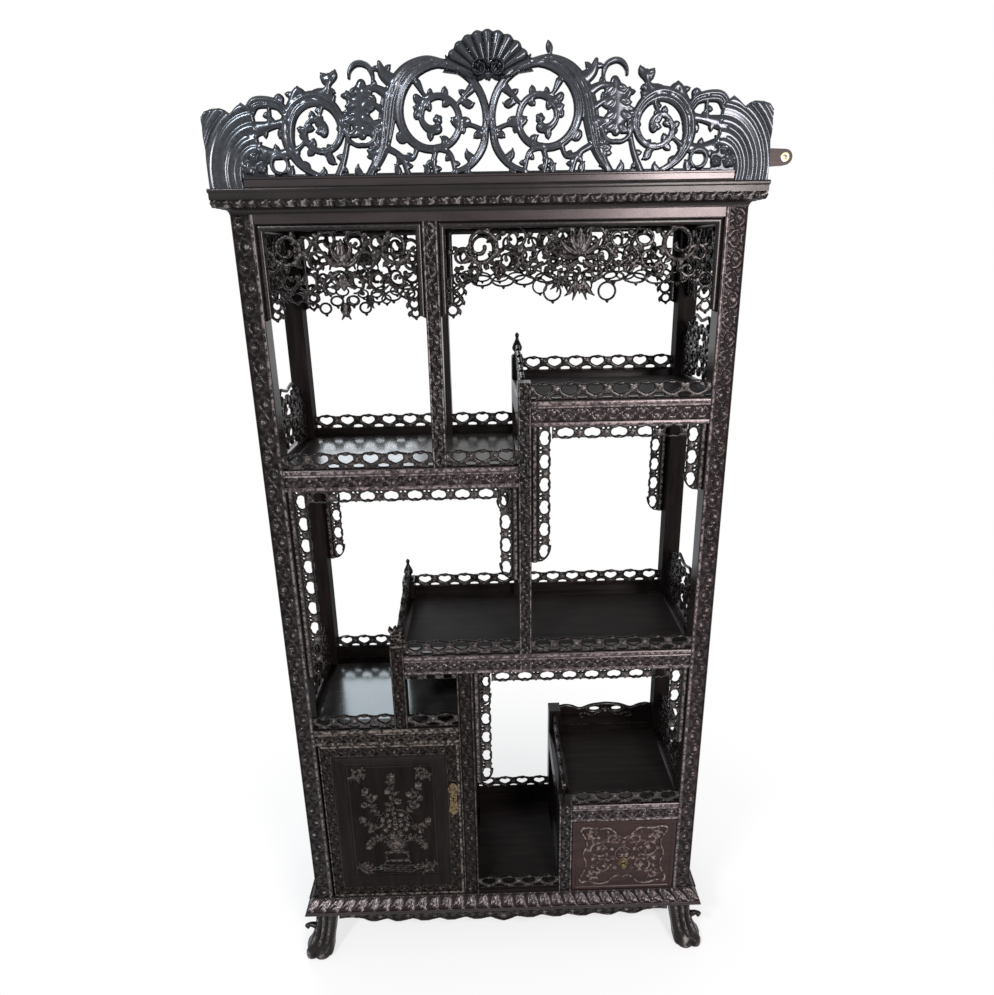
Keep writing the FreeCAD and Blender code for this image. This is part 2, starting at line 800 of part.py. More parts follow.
def centre_shift():
    # the lug makes the outline longer on the right than the feet do on the left
    widest = max(foot_reach(spread) + foot_toe * width / 2 for rise, width, spread in foot_station_shares)
    feet_half = frame_width / 2 - post_side / 2 + widest
    return (feet_half - (crest_half + lug_reach + lug_radius)) / 2


# claw feet: stations of height share, width share of the toe, and outward share of the spread
foot_station_shares = [
    (0.00, 0.84, 0.94), (0.05, 0.98, 1.00), (0.16, 1.00, 0.98), (0.27, 0.80, 0.60), (0.42, 0.66, 0.34),
    (0.62, 0.68, 0.16), (0.82, 0.84, 0.02), (1.00, 0.86, -0.16),
]

os.makedirs("parts", exist_ok=True)

# corner posts and inner posts
mortises = []
for spec in shelves.values():
    mortises.append(front_mortise(x_at(spec[0]), x_at(spec[1]), spec[2], spec[3]))
top_level = opening_level + top_rail_height
mortises.append(front_mortise(x_at(end_left), x_at(end_right), top_level, top_rail_height))
grooves = [tongue(x_at(spec[0]), x_at(spec[1]), spec[2], board_thickness, joint_clearance)
           for spec in shelves.values()]


def mortised(post):
    return post.cut(mortises + grooves)


for side, name in ((-1, "left"), (1, "right")):
    post = mortised(corner_post(side))
    save("post_front_" + name, [post])
    save("post_rear_" + name, [mirror_depth(post)])


# finials: radius and height shares of the rings, from the collar to the tip
finial_shares = [
    (1, 0), (1, 0.10), (0.55, 0.18), (0.95, 0.36), (0.28, 0.78), (0.42, 0.88), (0.10, 1),
]


def finial(x, z):
    rings = []
    for radius_share, height_share in finial_shares:
        ring_radius = finial_radius * radius_share
        ring_points = arc_points(x, y_rear - divider_depth / 2, ring_radius, 0, 315, 8)
        rings.append([Vector(px, py, z + finial_height * height_share) for px, py in ring_points])
    return faceted(rings)


a_front = divider_post(divider_a_at, divider_a_width, left_level, opening_level)
b_front = divider_post(divider_b_at, divider_b_width, middle_level, right_level + gallery_height)
b_rear = divider_post(divider_b_at, divider_b_width, middle_level, right_level + post_rise)
c_front = divider_post(divider_c_at, divider_c_width, cupboard_top_level, middle_level + gallery_height)
c_rear = divider_post(divider_c_at, divider_c_width, cupboard_top_level, middle_level + post_rise)
d_front = divider_post(divider_d_at, divider_d_width, 0, middle_level - middle_rail_height)
e_front = divider_post(divider_e_at, divider_e_width, 0, drawer_top_level)
e_rear = divider_post(divider_e_at, divider_e_width, 0, drawer_top_level + drawer_post_rise)
b_middle = x_at(divider_b_at + divider_b_width / 2)
c_middle = x_at(divider_c_at + divider_c_width / 2)
save("divider_a", [a_front, mirror_depth(a_front)])
save("divider_b", [mortised(b_front), mirror_depth(mortised(b_rear)),
                   finial(b_middle, z_at(right_level + post_rise))])
save("divider_c", [mortised(c_front), mirror_depth(mortised(c_rear)),
                   finial(c_middle, z_at(middle_level + post_rise))])
save("divider_d", [mortised(d_front), mirror_depth(mortised(d_front))])
save("divider_e", [mortised(e_front), mirror_depth(mortised(e_rear))])

# shelves
for name, spec in shelves.items():
    if name != "cupboard_top":
        save(name + "_rails", shelf_rails(spec))
    save(name + "_board", [board(x_at(spec[0]), x_at(spec[1]), spec[2], board_thickness)])

# top rails, top board and cornice
top_front = plain_rail(x_at(end_left), x_at(end_right), top_level, top_rail_height)
top_ends = [end_rail(x_left, post_side, top_level, top_rail_height),
            end_rail(x_right - post_side, post_side, top_level, top_rail_height)]
save("top_rails", [top_front, mirror_depth(top_front)] + top_ends)


def cornice_outline():
    # height above the top rail and reach from the posts: cove, ovolo and bead
    points = [(0, 0)]
    for step in range(1, 4):
        turn = math.pi / 2 * step / 3
        points.append((cornice_reach * 0.8 * (1 - math.cos(turn)), cornice_cove * math.sin(turn)))
    points.append((cornice_reach * 0.93, cornice_cove + cornice_ovolo * 0.5))
    points.append((cornice_reach * 0.93, cornice_cove + cornice_ovolo))
    points.append((cornice_reach, cornice_cove + cornice_ovolo))
    points.append((cornice_reach, cornice_cove + cornice_ovolo + cornice_bead))
    return points


def cornice_run(length_half, mitres):
    # the moulding along one side, centred on the origin, face towards -Y, mitred at the given ends
    inner = cornice_outline()
    depth = divider_depth
    profile = [(-reach, height) for reach, height in inner] + [(depth, inner[-1][1]), (depth, 0)]
    reach = cornice_reach + cut_overrun
    body = prism_x(profile, -length_half - reach, length_half + reach)
    height = inner[-1][1]
    for sign in mitres:
        wedge = [(sign * length_half, 0), (sign * (length_half + reach), -reach),
                 (sign * (length_half + reach + depth), -reach),
                 (sign * (length_half + reach + depth), depth), (sign * (length_half - depth), depth)]
        body = body.cut(prism_z(wedge, -cut_overrun, height + cut_overrun))
    return body


z_cornice = z_at(top_level)
cornice_front = cornice_run(frame_width / 2, (-1, 1))
cornice_front.translate(Vector(0, y_front, z_cornice))
cornice_end = cornice_run(frame_depth / 2, (-1,))
cornice_end.rotate(Vector(0, 0, 0), Vector(0, 0, 1), 90)
cornice_end.translate(Vector(x_right, 0, z_cornice))
trim = block(x_left, x_right + cornice_reach * 2, y_rear, y_rear + cornice_reach * 2,
             z_cornice - cut_overrun, z_cornice + frame_depth)
cornice_right = cornice_end.cut(trim)
cornice_left = cornice_right.mirror(Vector(0, 0, 0), Vector(1, 0, 0))
save("cornice", [cornice_front, cornice_left, cornice_right])
cornice_height = cornice_cove + cornice_ovolo + cornice_bead
save("top_board", [block(
    x_left + divider_depth, x_right - divider_depth, y_front + divider_depth, y_rear,
    z_cornice, z_cornice + board_thickness)])

# crest
z_crest = z_at(crest_base())
save("crest_rail", [crest_rail()])
save("crest_left", crest_half_solids(-1, False))
save("crest_right", crest_half_solids(1, True))
save("crest_shell", [crest_shell()])

# lug with its brass eyelet
lug_x = crest_half + lug_reach
lug_z = z_crest + lug_level
lug_y = y_crest() + (crest_thickness - lug_thickness) / 2
round_end = arc_points(lug_x, lug_z, lug_radius, -90, 90, 9)
lug = prism_y([(crest_half, lug_z - lug_root / 2)] + round_end + [(crest_half, lug_z + lug_root / 2)],
              lug_y, lug_y + lug_thickness)


def lug_round(radius, y0, y1):
    return prism_y(arc_points(lug_x, lug_z, radius, 0, 337.5, 16), y0, y1)


sleeve = lug_round(eyelet_radius, lug_y, lug_y + lug_thickness)
flange = lug_round(eyelet_flange, lug_y - eyelet_lip, lug_y)
eye = Part.makeCylinder(eyelet_bore, lug_thickness + eyelet_lip * 2,
                        Vector(lug_x, lug_y - eyelet_lip, lug_z), inward)
save("crest_lug", [lug.cut(sleeve)])
save("lug_eyelet", [sleeve.fuse(flange).cut(eye).removeSplitter()])

# galleries
a_right = divider_a_at + divider_a_width
save("left_shelf_gallery", [
    front_gallery(end_left, divider_a_at, left_level), front_gallery(a_right, divider_b_at, left_level),
    rear_gallery(end_left, divider_a_at, left_level, left_rear_rail),
    rear_gallery(a_right, divider_b_at, left_level, left_rear_rail)])
save("right_shelf_gallery", [
    front_gallery(b_right, end_right, right_level),
    rear_gallery(b_right, end_right, right_level, right_rear_rail),
    end_gallery(divider_b_at + divider_b_width / 2, right_level, 0.66, 1.50)])
save("middle_shelf_gallery", [
    front_gallery(c_right, divider_b_at, middle_level), front_gallery(b_right, end_right, middle_level),
    rear_gallery(c_right, divider_b_at, middle_level, middle_rear_rail),
    rear_gallery(b_right, end_right, middle_level, middle_rear_rail),
    end_gallery(divider_c_at + divider_c_width / 2, middle_level, 0.66, 1.60)])
save("cupboard_top_gallery", [
    front_gallery(end_left, divider_c_at, cupboard_top_level),
    front_gallery(c_right, divider_d_at, cupboard_top_level),
    rear_gallery(end_left, divider_c_at, cupboard_top_level, cupboard_rear_rail)])
save("drawer_top_gallery", [
    front_gallery(e_right, end_right, drawer_top_level),
    arched_gallery(e_right, end_right, drawer_top_level),
    end_gallery(divider_e_at + divider_e_width / 2, drawer_top_level, 0.66, 1.15)])
save("floor_gallery", [
    front_gallery(d_right, divider_e_at, floor_level),
    rear_gallery(d_right, divider_e_at, floor_level, floor_rear_rail)])

# aprons and borders
left_apron = apron(end_left, divider_a_at, opening_level, left_apron_height, left_apron_pendant)
right_apron = apron(a_right, end_right, opening_level, right_apron_height, right_apron_pendant)
save("upper_left_apron", [left_apron, mirror_depth(left_apron)])
save("upper_right_apron", [right_apron, mirror_depth(right_apron)])
save("middle_left_border", border(
    end_left, divider_b_at, left_level - left_rail_height, mid_left_long_column, mid_left_column))
save("middle_right_border", border(
    b_right, end_right, right_level - right_rail_height, mid_right_column, mid_right_short_column))
save("lower_right_border", border(
    d_right, end_right, middle_level - middle_rail_height, lower_right_column, lower_right_short_column))
niche_outline, niche_holes = lace(
    divider_d_at - c_right, niche_fret_depth, border_pitch / 1.5)
save("niche_border", [front_plate(
    niche_outline, niche_holes, x_at(c_right), z_at(middle_level - middle_rail_height), ahead, down)])

# open ends
save("left_end_frets", [
    end_apron(-1), end_guard(-1, left_level), end_border(-1, left_level - left_rail_height),
    end_guard(-1, cupboard_top_level)])
save("right_end_frets", [
    end_apron(1), end_guard(1, right_level), end_border(1, right_level - right_rail_height),
    end_guard(1, middle_level), end_border(1, middle_level - middle_rail_height),
    end_guard(1, drawer_top_level)])

# base: a slanted moulding that spreads from the posts, in four mitred runs, with a board inside
z_base = z_at(0)


def rectangle(x0, x1, y0, y1, z):
    return [Vector(x0, y0, z), Vector(x1, y0, z), Vector(x1, y1, z), Vector(x0, y1, z)]


base_top = rectangle(x_left - end_flare_reach, x_right + end_flare_reach, y_front, y_rear, z_base)
base_low = rectangle(x_left - base_reach, x_right + base_reach, y_front - base_reach, y_rear,
                     z_base - base_flare)
flared = faceted([base_low, base_top])
fillet = block(x_left - base_reach, x_right + base_reach, y_front - base_reach, y_rear,
               z_base - base_flare - base_fillet, z_base - base_flare)
cavity = block(x_left + post_side, x_right - post_side, y_front + post_side, y_rear - post_side,
               z_base - base_flare - base_fillet - cut_overrun, z_base + cut_overrun)
ring = flared.fuse(fillet).cut(cavity)
far = frame_width
low_z = z_base - frame_depth
left_zone = block(-far, x_left + post_side, -far, far, low_z, z_base + cut_overrun)
right_zone = block(x_right - post_side, far, -far, far, low_z, z_base + cut_overrun)
front_zone = block(x_left + post_side, x_right - post_side, -far, 0, low_z, z_base + cut_overrun)
rear_zone = block(x_left + post_side, x_right - post_side, 0, far, low_z, z_base + cut_overrun)
runs = [ring.common(zone).removeSplitter() for zone in (left_zone, right_zone, front_zone, rear_zone)]
save("base_board", [block(
    x_left + post_side, x_right - post_side, y_front + post_side, y_rear - post_side,
    z_base - base_board_thickness, z_base)])
save("floor_board", [block(
    x_at(d_right), x_at(divider_e_at), y_front, y_rear, z_base, z_at(floor_level))])
rail_points = corner_flare(-1)
end_flare = prism_y(rail_points, y_front + post_side, y_rear - post_side)
save("base_end_rails", [end_flare, end_flare.mirror(Vector(0, 0, 0), Vector(1, 0, 0))])

# scalloped skirts under the moulding
skirt_shares = [
    (1.0, 0.0), (1.0, 0.62), (0.93, 0.56), (0.86, 0.80), (0.78, 0.94), (0.72, 0.82), (0.66, 0.98),
    (0.58, 0.86), (0.50, 1.0), (0.42, 0.88), (0.34, 1.0), (0.26, 0.84), (0.18, 1.0), (0.10, 0.92),
    (0.0, 1.22),
]


def skirt(half_length):
    outline = [(half_length * s, -apron_skirt * t) for s, t in skirt_shares]
    return outline + [(-x, z) for x, z in outline[-2::-1]]


z_skirt = z_base - base_flare - base_fillet
front_half = x_right - foot_neck
y_skirt = y_front - base_reach + skirt_setback
front_skirt = prism_y([(x, z_skirt + z) for x, z in skirt(front_half)], y_skirt, y_skirt + skirt_thickness)
end_half = frame_depth / 2 - foot_neck
end_points = [Vector(x_right + base_reach - skirt_setback - skirt_thickness, y, z_skirt + z)
              for y, z in skirt(end_half)]
right_skirt = polygon_face(end_points).extrude(Vector(skirt_thickness, 0, 0))
left_skirt = right_skirt.mirror(Vector(0, 0, 0), Vector(1, 0, 0))
save("base_skirts", [front_skirt, left_skirt, right_skirt])

def foot(side_x, side_y):
    # eight-sided rings, drawn out to the claw along the diagonal of the corner
    rings = []
    for rise, width, spread in foot_station_shares:
        half = foot_toe * width / 2
        inner = half * 0.58
        cx = side_x * (frame_width / 2 - post_side / 2 + foot_reach(spread))
        cy = side_y * (frame_depth / 2 - post_side / 2 + foot_reach(spread))
        corners = [
            (half, inner), (inner, half), (-inner, half), (-half, inner), (-half, -inner),
            (-inner, -half), (inner, -half), (half, -inner)]
        rings.append([Vector(cx + x, cy + y, z_skirt * rise) for x, y in corners])
    return faceted(rings)


save("feet", [foot(sx, sy) for sx in (-1, 1) for sy in (-1, 1)])

# cupboard case: left end, right side, back, and the back of the niche above it
case_bottom = z_at(0)
case_top = z_at(cupboard_top_level - cupboard_rail_height)
y_case0 = y_front + divider_depth
y_case1 = y_rear - divider_depth
cupboard_case = [
    block(x_left + end_flare_reach, x_left + end_flare_reach + panel_thickness, y_case0, y_case1,
          case_bottom, case_top),
    block(x_at(divider_d_at) + cupboard_setback, x_at(divider_d_at) + cupboard_setback + panel_thickness,
          y_case0, y_case1, case_bottom, case_top),
    block(x_at(end_left), x_at(divider_d_at), y_rear - cupboard_setback - panel_thickness,
          y_rear - cupboard_setback, case_bottom, case_top),
]
niche_level = middle_level - middle_rail_height
cupboard_case.append(block(
    x_at(c_right), x_at(divider_d_at), y_rear - cupboard_setback - panel_thickness,
    y_rear - cupboard_setback, z_at(cupboard_top_level), z_at(niche_level)))
cupboard_case.append(block(
    x_at(divider_d_at) + cupboard_setback, x_at(divider_d_at) + cupboard_setback + panel_thickness,
    y_case0, y_case1, z_at(cupboard_top_level), z_at(niche_level)))
save("cupboard_case", cupboard_case)

# door: a frame round a bevelled panel, turning on pins at its left edge
door_x0 = x_at(end_left) + door_gap
door_x1 = x_at(divider_d_at) - door_gap
door_z0 = case_bottom + door_gap
door_z1 = case_top - door_gap
door_y0 = y_front + door_setback
door_y1 = door_y0 + door_thickness
pivot_x = door_x0 + door_thickness / 2
pivot_y = door_y0 + door_thickness / 2


def door_slab():
    # plate whose hinge edge is rounded about the pin
    steps = 6
    points = [(door_x1, door_y0), (door_x1, door_y1)]
    for step in range(steps + 1):
        turn = math.pi / 2 + math.pi * step / steps
        points.append((pivot_x + door_thickness / 2 * math.cos(turn),
                       pivot_y + door_thickness / 2 * math.sin(turn)))
    return prism_z(points, door_z0, door_z1)


frame_in = door_stile + door_moulding
window = block(door_x0 + frame_in, door_x1 - frame_in, door_y0 - cut_overrun, door_y1 + cut_overrun,
               door_z0 + frame_in, door_z1 - frame_in)


def sunk_moulding():
    # the plain moulding round the panel slopes inwards from the carved frame
    def loop(inset, y):
        x0 = door_x0 + inset
        x1 = door_x1 - inset
        z0 = door_z0 + inset
        z1 = door_z1 - inset
        return [Vector(x0, y, z0), Vector(x1, y, z0), Vector(x1, y, z1), Vector(x0, y, z1)]

    return faceted([loop(door_stile, door_y0), loop(frame_in, door_y0 + door_bevel)])


def pivot_pin(z0, z1):
    return Part.makeCylinder(pivot_radius, z1 - z0, Vector(pivot_x, pivot_y, z0))


def pivot_socket(z0, z1):
    return Part.makeCylinder(pivot_radius + pivot_clearance, z1 - z0, Vector(pivot_x, pivot_y, z0))


pin_low = pivot_pin(door_z0 - pivot_length / 2, door_z0 + pivot_length / 2)
pin_high = pivot_pin(door_z1 - pivot_length / 2, door_z1 + pivot_length / 2)
door_frame = door_slab().cut(window).cut(sunk_moulding()).cut(pin_low).cut(pin_high)
rail_sockets = [
    pivot_socket(door_z0 - socket_depth, case_bottom + cut_overrun),
    pivot_socket(case_top - cut_overrun, door_z1 + socket_depth)]
save("base_moulding", [run.cut(rail_sockets) for run in runs])
save("cupboard_top_rails", [rail.cut(rail_sockets) for rail in shelf_rails(shelves["cupboard_top"])])
plate_x = door_x1 - door_stile / 2
plate_z = door_z0 + (door_z1 - door_z0) * 0.65
save("door_frame", [door_frame.removeSplitter()])
panel_y = door_y0 + door_bevel
save("door_panel", [block(
    door_x0 + frame_in, door_x1 - frame_in, panel_y, panel_y + door_panel_thickness,
    door_z0 + frame_in, door_z1 - frame_in)])
save("door_pivot_pins", [pin_low, pin_high])

plate_shares = [
    (-0.5, -0.36), (-0.22, -0.42), (0, -0.5), (0.22, -0.42), (0.5, -0.36), (0.36, 0), (0.5, 0.36),
    (0.22, 0.42), (0, 0.5), (-0.22, 0.42), (-0.5, 0.36), (-0.36, 0),
]
keyhole = arc_points(plate_x, plate_z, keyhole_radius, 0, 315, 8)
plate_points = [(plate_x + plate_width * s, plate_z + plate_height * t) for s, t in plate_shares]
save("lock_plate", [prism_y(plate_points, door_y0 - plate_thickness, door_y0, [keyhole])])

# drawer case and runners
drawer_x0 = x_at(e_right) + drawer_gap
drawer_x1 = x_at(end_right) - drawer_gap
drawer_z0 = z_at(0) + drawer_gap
drawer_z1 = z_at(drawer_top_level - drawer_rail_height) - drawer_gap
drawer_case_top = z_at(drawer_top_level - drawer_rail_height)
case_x = x_at(divider_e_at) + (divider_e_width - panel_thickness) / 2
save("drawer_case", [
    block(case_x, case_x + panel_thickness, y_case0, y_case1, case_bottom, drawer_case_top),
    block(x_right - end_flare_reach - panel_thickness, x_right - end_flare_reach, y_case0, y_case1,
          case_bottom, drawer_case_top),
    block(x_at(e_right), x_at(end_right), y_rear - cupboard_setback - panel_thickness,
          y_rear - cupboard_setback, case_bottom, drawer_case_top)])
runner_y1 = y_rear - cupboard_setback - panel_thickness
box_z0 = z_at(0) + runner_height
save("drawer_runners", [
    block(x0, x0 + runner_width, y_case0, runner_y1, z_at(0), box_z0)
    for x0 in (x_at(e_right), x_at(end_right) - runner_width)])

# drawer: carved front, and a box of sides, back and bottom
front_y1 = y_front + drawer_front_thickness
box_x0 = x_at(e_right) + drawer_side_gap
box_x1 = x_at(end_right) - drawer_side_gap
box_y1 = y_rear - cupboard_setback - panel_thickness - drawer_back_gap
box_z1 = drawer_z1 - drawer_side_gap
cartouche_shares = [
    (0.0, 0.30), (0.12, 0.38), (0.30, 0.42), (0.42, 0.36), (0.38, 0.16), (0.44, 0.0),
]


def cartouche():
    # sunk field with hollow corners, mirrored to four quarters
    width = drawer_x1 - drawer_x0
    height = drawer_z1 - drawer_z0
    middle_x = (drawer_x0 + drawer_x1) / 2
    middle_z = (drawer_z0 + drawer_z1) / 2
    quarter = [(width * s, height * t) for s, t in cartouche_shares]
    points = quarter + [(x, -z) for x, z in quarter[-2::-1]]
    points += [(-x, z) for x, z in points[-2:0:-1]]
    return [(middle_x + x, middle_z + z) for x, z in points]


drawer_front = block(drawer_x0, drawer_x1, y_front, front_y1, drawer_z0, drawer_z1)
field = prism_y(cartouche(), y_front - cut_overrun, y_front + drawer_cartouche)
save("drawer_front", [drawer_front.cut(field)])
save("drawer_box", [
    block(box_x0, box_x0 + drawer_side_thickness, front_y1, box_y1, box_z0, box_z1),
    block(box_x1 - drawer_side_thickness, box_x1, front_y1, box_y1, box_z0, box_z1),
    block(box_x0 + drawer_side_thickness, box_x1 - drawer_side_thickness,
          box_y1 - drawer_side_thickness, box_y1, box_z0, box_z1),
    block(box_x0 + drawer_side_thickness, box_x1 - drawer_side_thickness, front_y1,
          box_y1 - drawer_side_thickness, box_z0, box_z0 + drawer_bottom_thickness)])

# brass knob on a round plate, below the middle of the cartouche
knob_x = (drawer_x0 + drawer_x1) / 2
knob_z = drawer_z0 + (drawer_z1 - drawer_z0) * 0.40
knob_y = y_front + drawer_cartouche
knob_profile = [
    (knob_plate_radius, 0), (knob_plate_radius, knob_plate_thickness),
    (knob_neck_radius, knob_plate_thickness * 2), (knob_neck_radius, knob_reach * 0.5),
    (knob_radius, knob_reach * 0.68), (knob_radius * 0.8, knob_reach * 0.9),
    (knob_radius * 0.3, knob_reach),
]
knob_rings = []
for ring_radius, ring_height in knob_profile:
    around = arc_points(knob_x, knob_z, ring_radius, 0, 330, 12)
    knob_rings.append([Vector(px, knob_y - ring_height, pz) for px, pz in around])
save("drawer_knob", [faceted(knob_rings)])
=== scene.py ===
import bpy
import math
import numpy as np
from mathutils import Matrix, Vector


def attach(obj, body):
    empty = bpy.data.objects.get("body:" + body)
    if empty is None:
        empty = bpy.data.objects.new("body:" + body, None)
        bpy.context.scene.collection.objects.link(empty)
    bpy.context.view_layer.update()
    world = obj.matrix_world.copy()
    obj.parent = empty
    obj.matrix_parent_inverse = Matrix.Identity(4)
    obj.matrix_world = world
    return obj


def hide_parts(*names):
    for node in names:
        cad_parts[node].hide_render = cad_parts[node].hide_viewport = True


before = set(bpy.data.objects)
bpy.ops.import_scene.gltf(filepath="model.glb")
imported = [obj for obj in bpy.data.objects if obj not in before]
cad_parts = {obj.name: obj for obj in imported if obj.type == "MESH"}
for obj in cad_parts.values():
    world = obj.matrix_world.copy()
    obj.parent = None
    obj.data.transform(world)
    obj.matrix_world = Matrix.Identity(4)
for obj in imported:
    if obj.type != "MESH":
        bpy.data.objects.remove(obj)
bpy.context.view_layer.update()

# Carved display cabinet. Shapes are worked out in millimetres, in the frame of the model, and turned
# into metres when a mesh is made. A canvas is a flat grid that holds two things for every node:
# wood, the distance inside the outline (minus outside), and rise, the height of the carving.
mm = 0.001
yFront = -174.0  # faces of the corner posts
yRear = 174.0
frameX = -510.84  # outer side of the left corner post
frameWidth = 1000.0  # over the corner posts
middleX = frameX + frameWidth / 2
postSide = 44.0
insideY = yRear - postSide  # inner side of the rear posts
barDepth = 43.0  # of posts and rails, to their plain backs
baseTop = 178.0
footTop = 146.0
toRight, toLeft, toFront, toRear = (1, 0, 0), (-1, 0, 0), (0, -1, 0), (0, 1, 0)
upwards, downwards = (0, 0, 1), (0, 0, -1)
levels = {  # tops of the shelves, and the underside of the top rails, above the base
    "floor": 12.0, "drawer": 281.0, "cupboard": 530.0, "middle": 730.0, "left": 1192.0, "right": 1333.0,
    "opening": 1688.0, "top": 1705.0,
}
railHeights = {"drawer": 52.0, "cupboard": 46.0, "middle": 50.0, "left": 48.0, "right": 56.0}
posts = {  # from the outer side of the left corner post to the post's left side, and its width
    "first": (0.0, 44.0), "A": (366.0, 30.0), "B": (549.5, 28.5), "C": (242.0, 33.0), "D": (397.0, 39.0),
    "E": (648.5, 34.0), "last": (956.0, 44.0),
}


def atX(distance):
    # from the outer side of the left corner post
    return distance + frameX


def atZ(level):
    # from the top of the base
    return level + baseTop


def bay(left, right):
    # the clear span between two posts
    return posts[left][0] + posts[left][1], posts[right][0]


def postMiddle(name):
    # half its width from its left side
    return posts[name][0] + posts[name][1] / 2


def under(shelf):
    # the underside of a shelf's rails: its level less their height
    return levels[shelf] - railHeights[shelf]


# Canvases and strokes

def newCanvas(width, height, cell, x0=0.0, y0=0.0):
    # an empty grid with its first corner at x0, y0 and its nodes about one cell apart
    xs = x0 + np.linspace(0.0, width, max(2, round(width / cell) + 1))
    ys = y0 + np.linspace(0.0, height, max(2, round(height / cell) + 1))
    shape = (len(ys), len(xs))
    return {"xs": xs, "ys": ys, "wood": np.full(shape, -60.0), "rise": np.zeros(shape)}


def smoothPath(stations, parts):
    # a curve through the stations: every span blends its four nearest stations with cubic weights
    p = np.asarray(stations, float)
    q = np.vstack([2 * p[0] - p[1], p, 2 * p[-1] - p[-2]])
    t = np.linspace(0.0, 1.0, parts, endpoint=False)[None, :, None]
    a, b, c, d = (q[k:k + len(p) - 1][:, None, :] for k in range(4))
    spans = 0.5 * (2 * b + (c - a) * t + (2 * a - 5 * b + 4 * c - d) * t ** 2
                   + (3 * b - a - 3 * c + d) * t ** 3)
    return np.vstack([spans.reshape(-1, p.shape[1]), p[-1:]])


def spiralPath(x, y, stations, step):
    # point = middle + radius at the turn x (cos, sin); radius and width run evenly between stations
    turns, radii, widths = (np.array(column, float) for column in zip(*stations))
    along = np.concatenate([[0.0], np.cumsum(np.abs(np.diff(turns)))])
    s = np.linspace(0.0, along[-1], max(3, int(along[-1] / step) + 1))
    turn = np.radians(np.interp(s, along, turns))
    radius = np.interp(s, along, radii)
    return np.stack([x + radius * np.cos(turn), y + radius * np.sin(turn), np.interp(s, along, widths)], 1)


def curlPath(x, y, radius, start, hand, shape, step=12.0):
    # a spiral through stations of (turn from the start, share of the radius, width)
    stations = [(start + hand * turn, radius * share, width) for turn, share, width in shape]
    return spiralPath(x, y, stations, step)


def leafPath(x0, y0, x1, y1, bend, width):
    # a bent line from root to tip, pushed sideways by bend; the width swells and ends in a point
    t = np.linspace(0.0, 1.0, 7)
    dx, dy = x1 - x0, y1 - y0
    size = math.hypot(dx, dy) + 1e-6
    push = bend * 4 * t * (1 - t)
    swell = 0.25 * width * (1 - t) + width * np.sin(np.pi * t ** 0.8) ** 0.9
    return np.stack([x0 + dx * t - dy / size * push, y0 + dy * t + dx / size * push,
                     np.maximum(swell, width * 0.28)], 1)


def carveRun(canvas, path, rise, flutes=0.0, wrap=0.0, groove=0.35):
    # share = distance to the nearest stretch of the path over its half width there; wood = that half
    # width minus the distance; height = rise x root(1 - share^2), lowered by grooves along the path
    xs, ys = canvas["xs"], canvas["ys"]
    path = np.asarray(path, float)
    reach = path[:, 2].max() / 2 + 3.0
    for shift in ((-wrap, 0.0, wrap) if wrap else (0.0,)):
        a0, b0 = np.searchsorted(xs, [path[:, 0].min() + shift - reach, path[:, 0].max() + shift + reach])
        c0, d0 = np.searchsorted(ys, [path[:, 1].min() - reach, path[:, 1].max() + reach])
        if b0 <= a0 or d0 <= c0:
            continue
        near = np.full((d0 - c0, b0 - a0), 9.0)
        hand = np.zeros(near.shape)
        deep = np.full(near.shape, -60.0)
        for (px, py, pw), (qx, qy, qw) in zip(path[:-1], path[1:]):
            a, b = np.searchsorted(xs, [min(px, qx) + shift - reach, max(px, qx) + shift + reach])
            c, d = np.searchsorted(ys, [min(py, qy) - reach, max(py, qy) + reach])
            if b <= a or d <= c:
                continue
            gx = xs[None, a:b] - px - shift
            gy = ys[c:d, None] - py
            dx, dy = qx - px, qy - py
            t = np.clip((gx * dx + gy * dy) / (dx * dx + dy * dy + 1e-9), 0.0, 1.0)
            away = np.hypot(gx - t * dx, gy - t * dy)
            half = np.maximum((pw + (qw - pw) * t) / 2, 0.3)
            view = (slice(c - c0, d - c0), slice(a - a0, b - a0))
            share = away / half
            closer = share < near[view]
            near[view] = np.where(closer, share, near[view])
            hand[view] = np.where(closer, np.sign(gx * dy - gy * dx), hand[view])
            deep[view] = np.maximum(deep[view], half - away)
        share = np.clip(near, 0.0, 1.0)
        height = rise * np.sqrt(1 - share ** 2)
        if flutes:
            height = height * (1 - groove * (0.5 + 0.5 * np.cos(2 * np.pi * flutes * share * hand)))
        view = (slice(c0, d0), slice(a0, b0))
        canvas["wood"][view] = np.maximum(canvas["wood"][view], deep)
        canvas["rise"][view] = np.maximum(canvas["rise"][view], height)


def carveFlower(canvas, x, y, radius, petals, rise, turn=0.0, wrap=0.0):
    # edge = radius x (0.8 + 0.2 |cos(petals x angle / 2)|); height = a dome split between the petals,
    # with a small round boss in the middle
    xs, ys = canvas["xs"], canvas["ys"]
    for shift in ((-wrap, 0.0, wrap) if wrap else (0.0,)):
        a, b = np.searchsorted(xs, [x + shift - radius - 3, x + shift + radius + 3])
        c, d = np.searchsorted(ys, [y - radius - 3, y + radius + 3])
        if b <= a or d <= c:
            continue
        gx = xs[None, a:b] - x - shift
        gy = ys[c:d, None] - y
        away = np.hypot(gx, gy)
        split = np.abs(np.cos((np.arctan2(gy, gx) - turn) * petals / 2))
        edge = radius * (0.8 + 0.2 * split)
        share = np.clip(away / edge, 0.0, 1.0)
        height = rise * (1 - share ** 2) ** 0.4 * (0.6 + 0.4 * split ** 0.5)
        boss = rise * (0.75 + 0.35 * np.sqrt(np.maximum(1 - (share / 0.3) ** 2, 0)))
        height = np.where(share < 0.3, boss, height)
        canvas["wood"][c:d, a:b] = np.maximum(canvas["wood"][c:d, a:b], edge - away)
        canvas["rise"][c:d, a:b] = np.maximum(canvas["rise"][c:d, a:b], np.where(share < 1, height, 0.0))


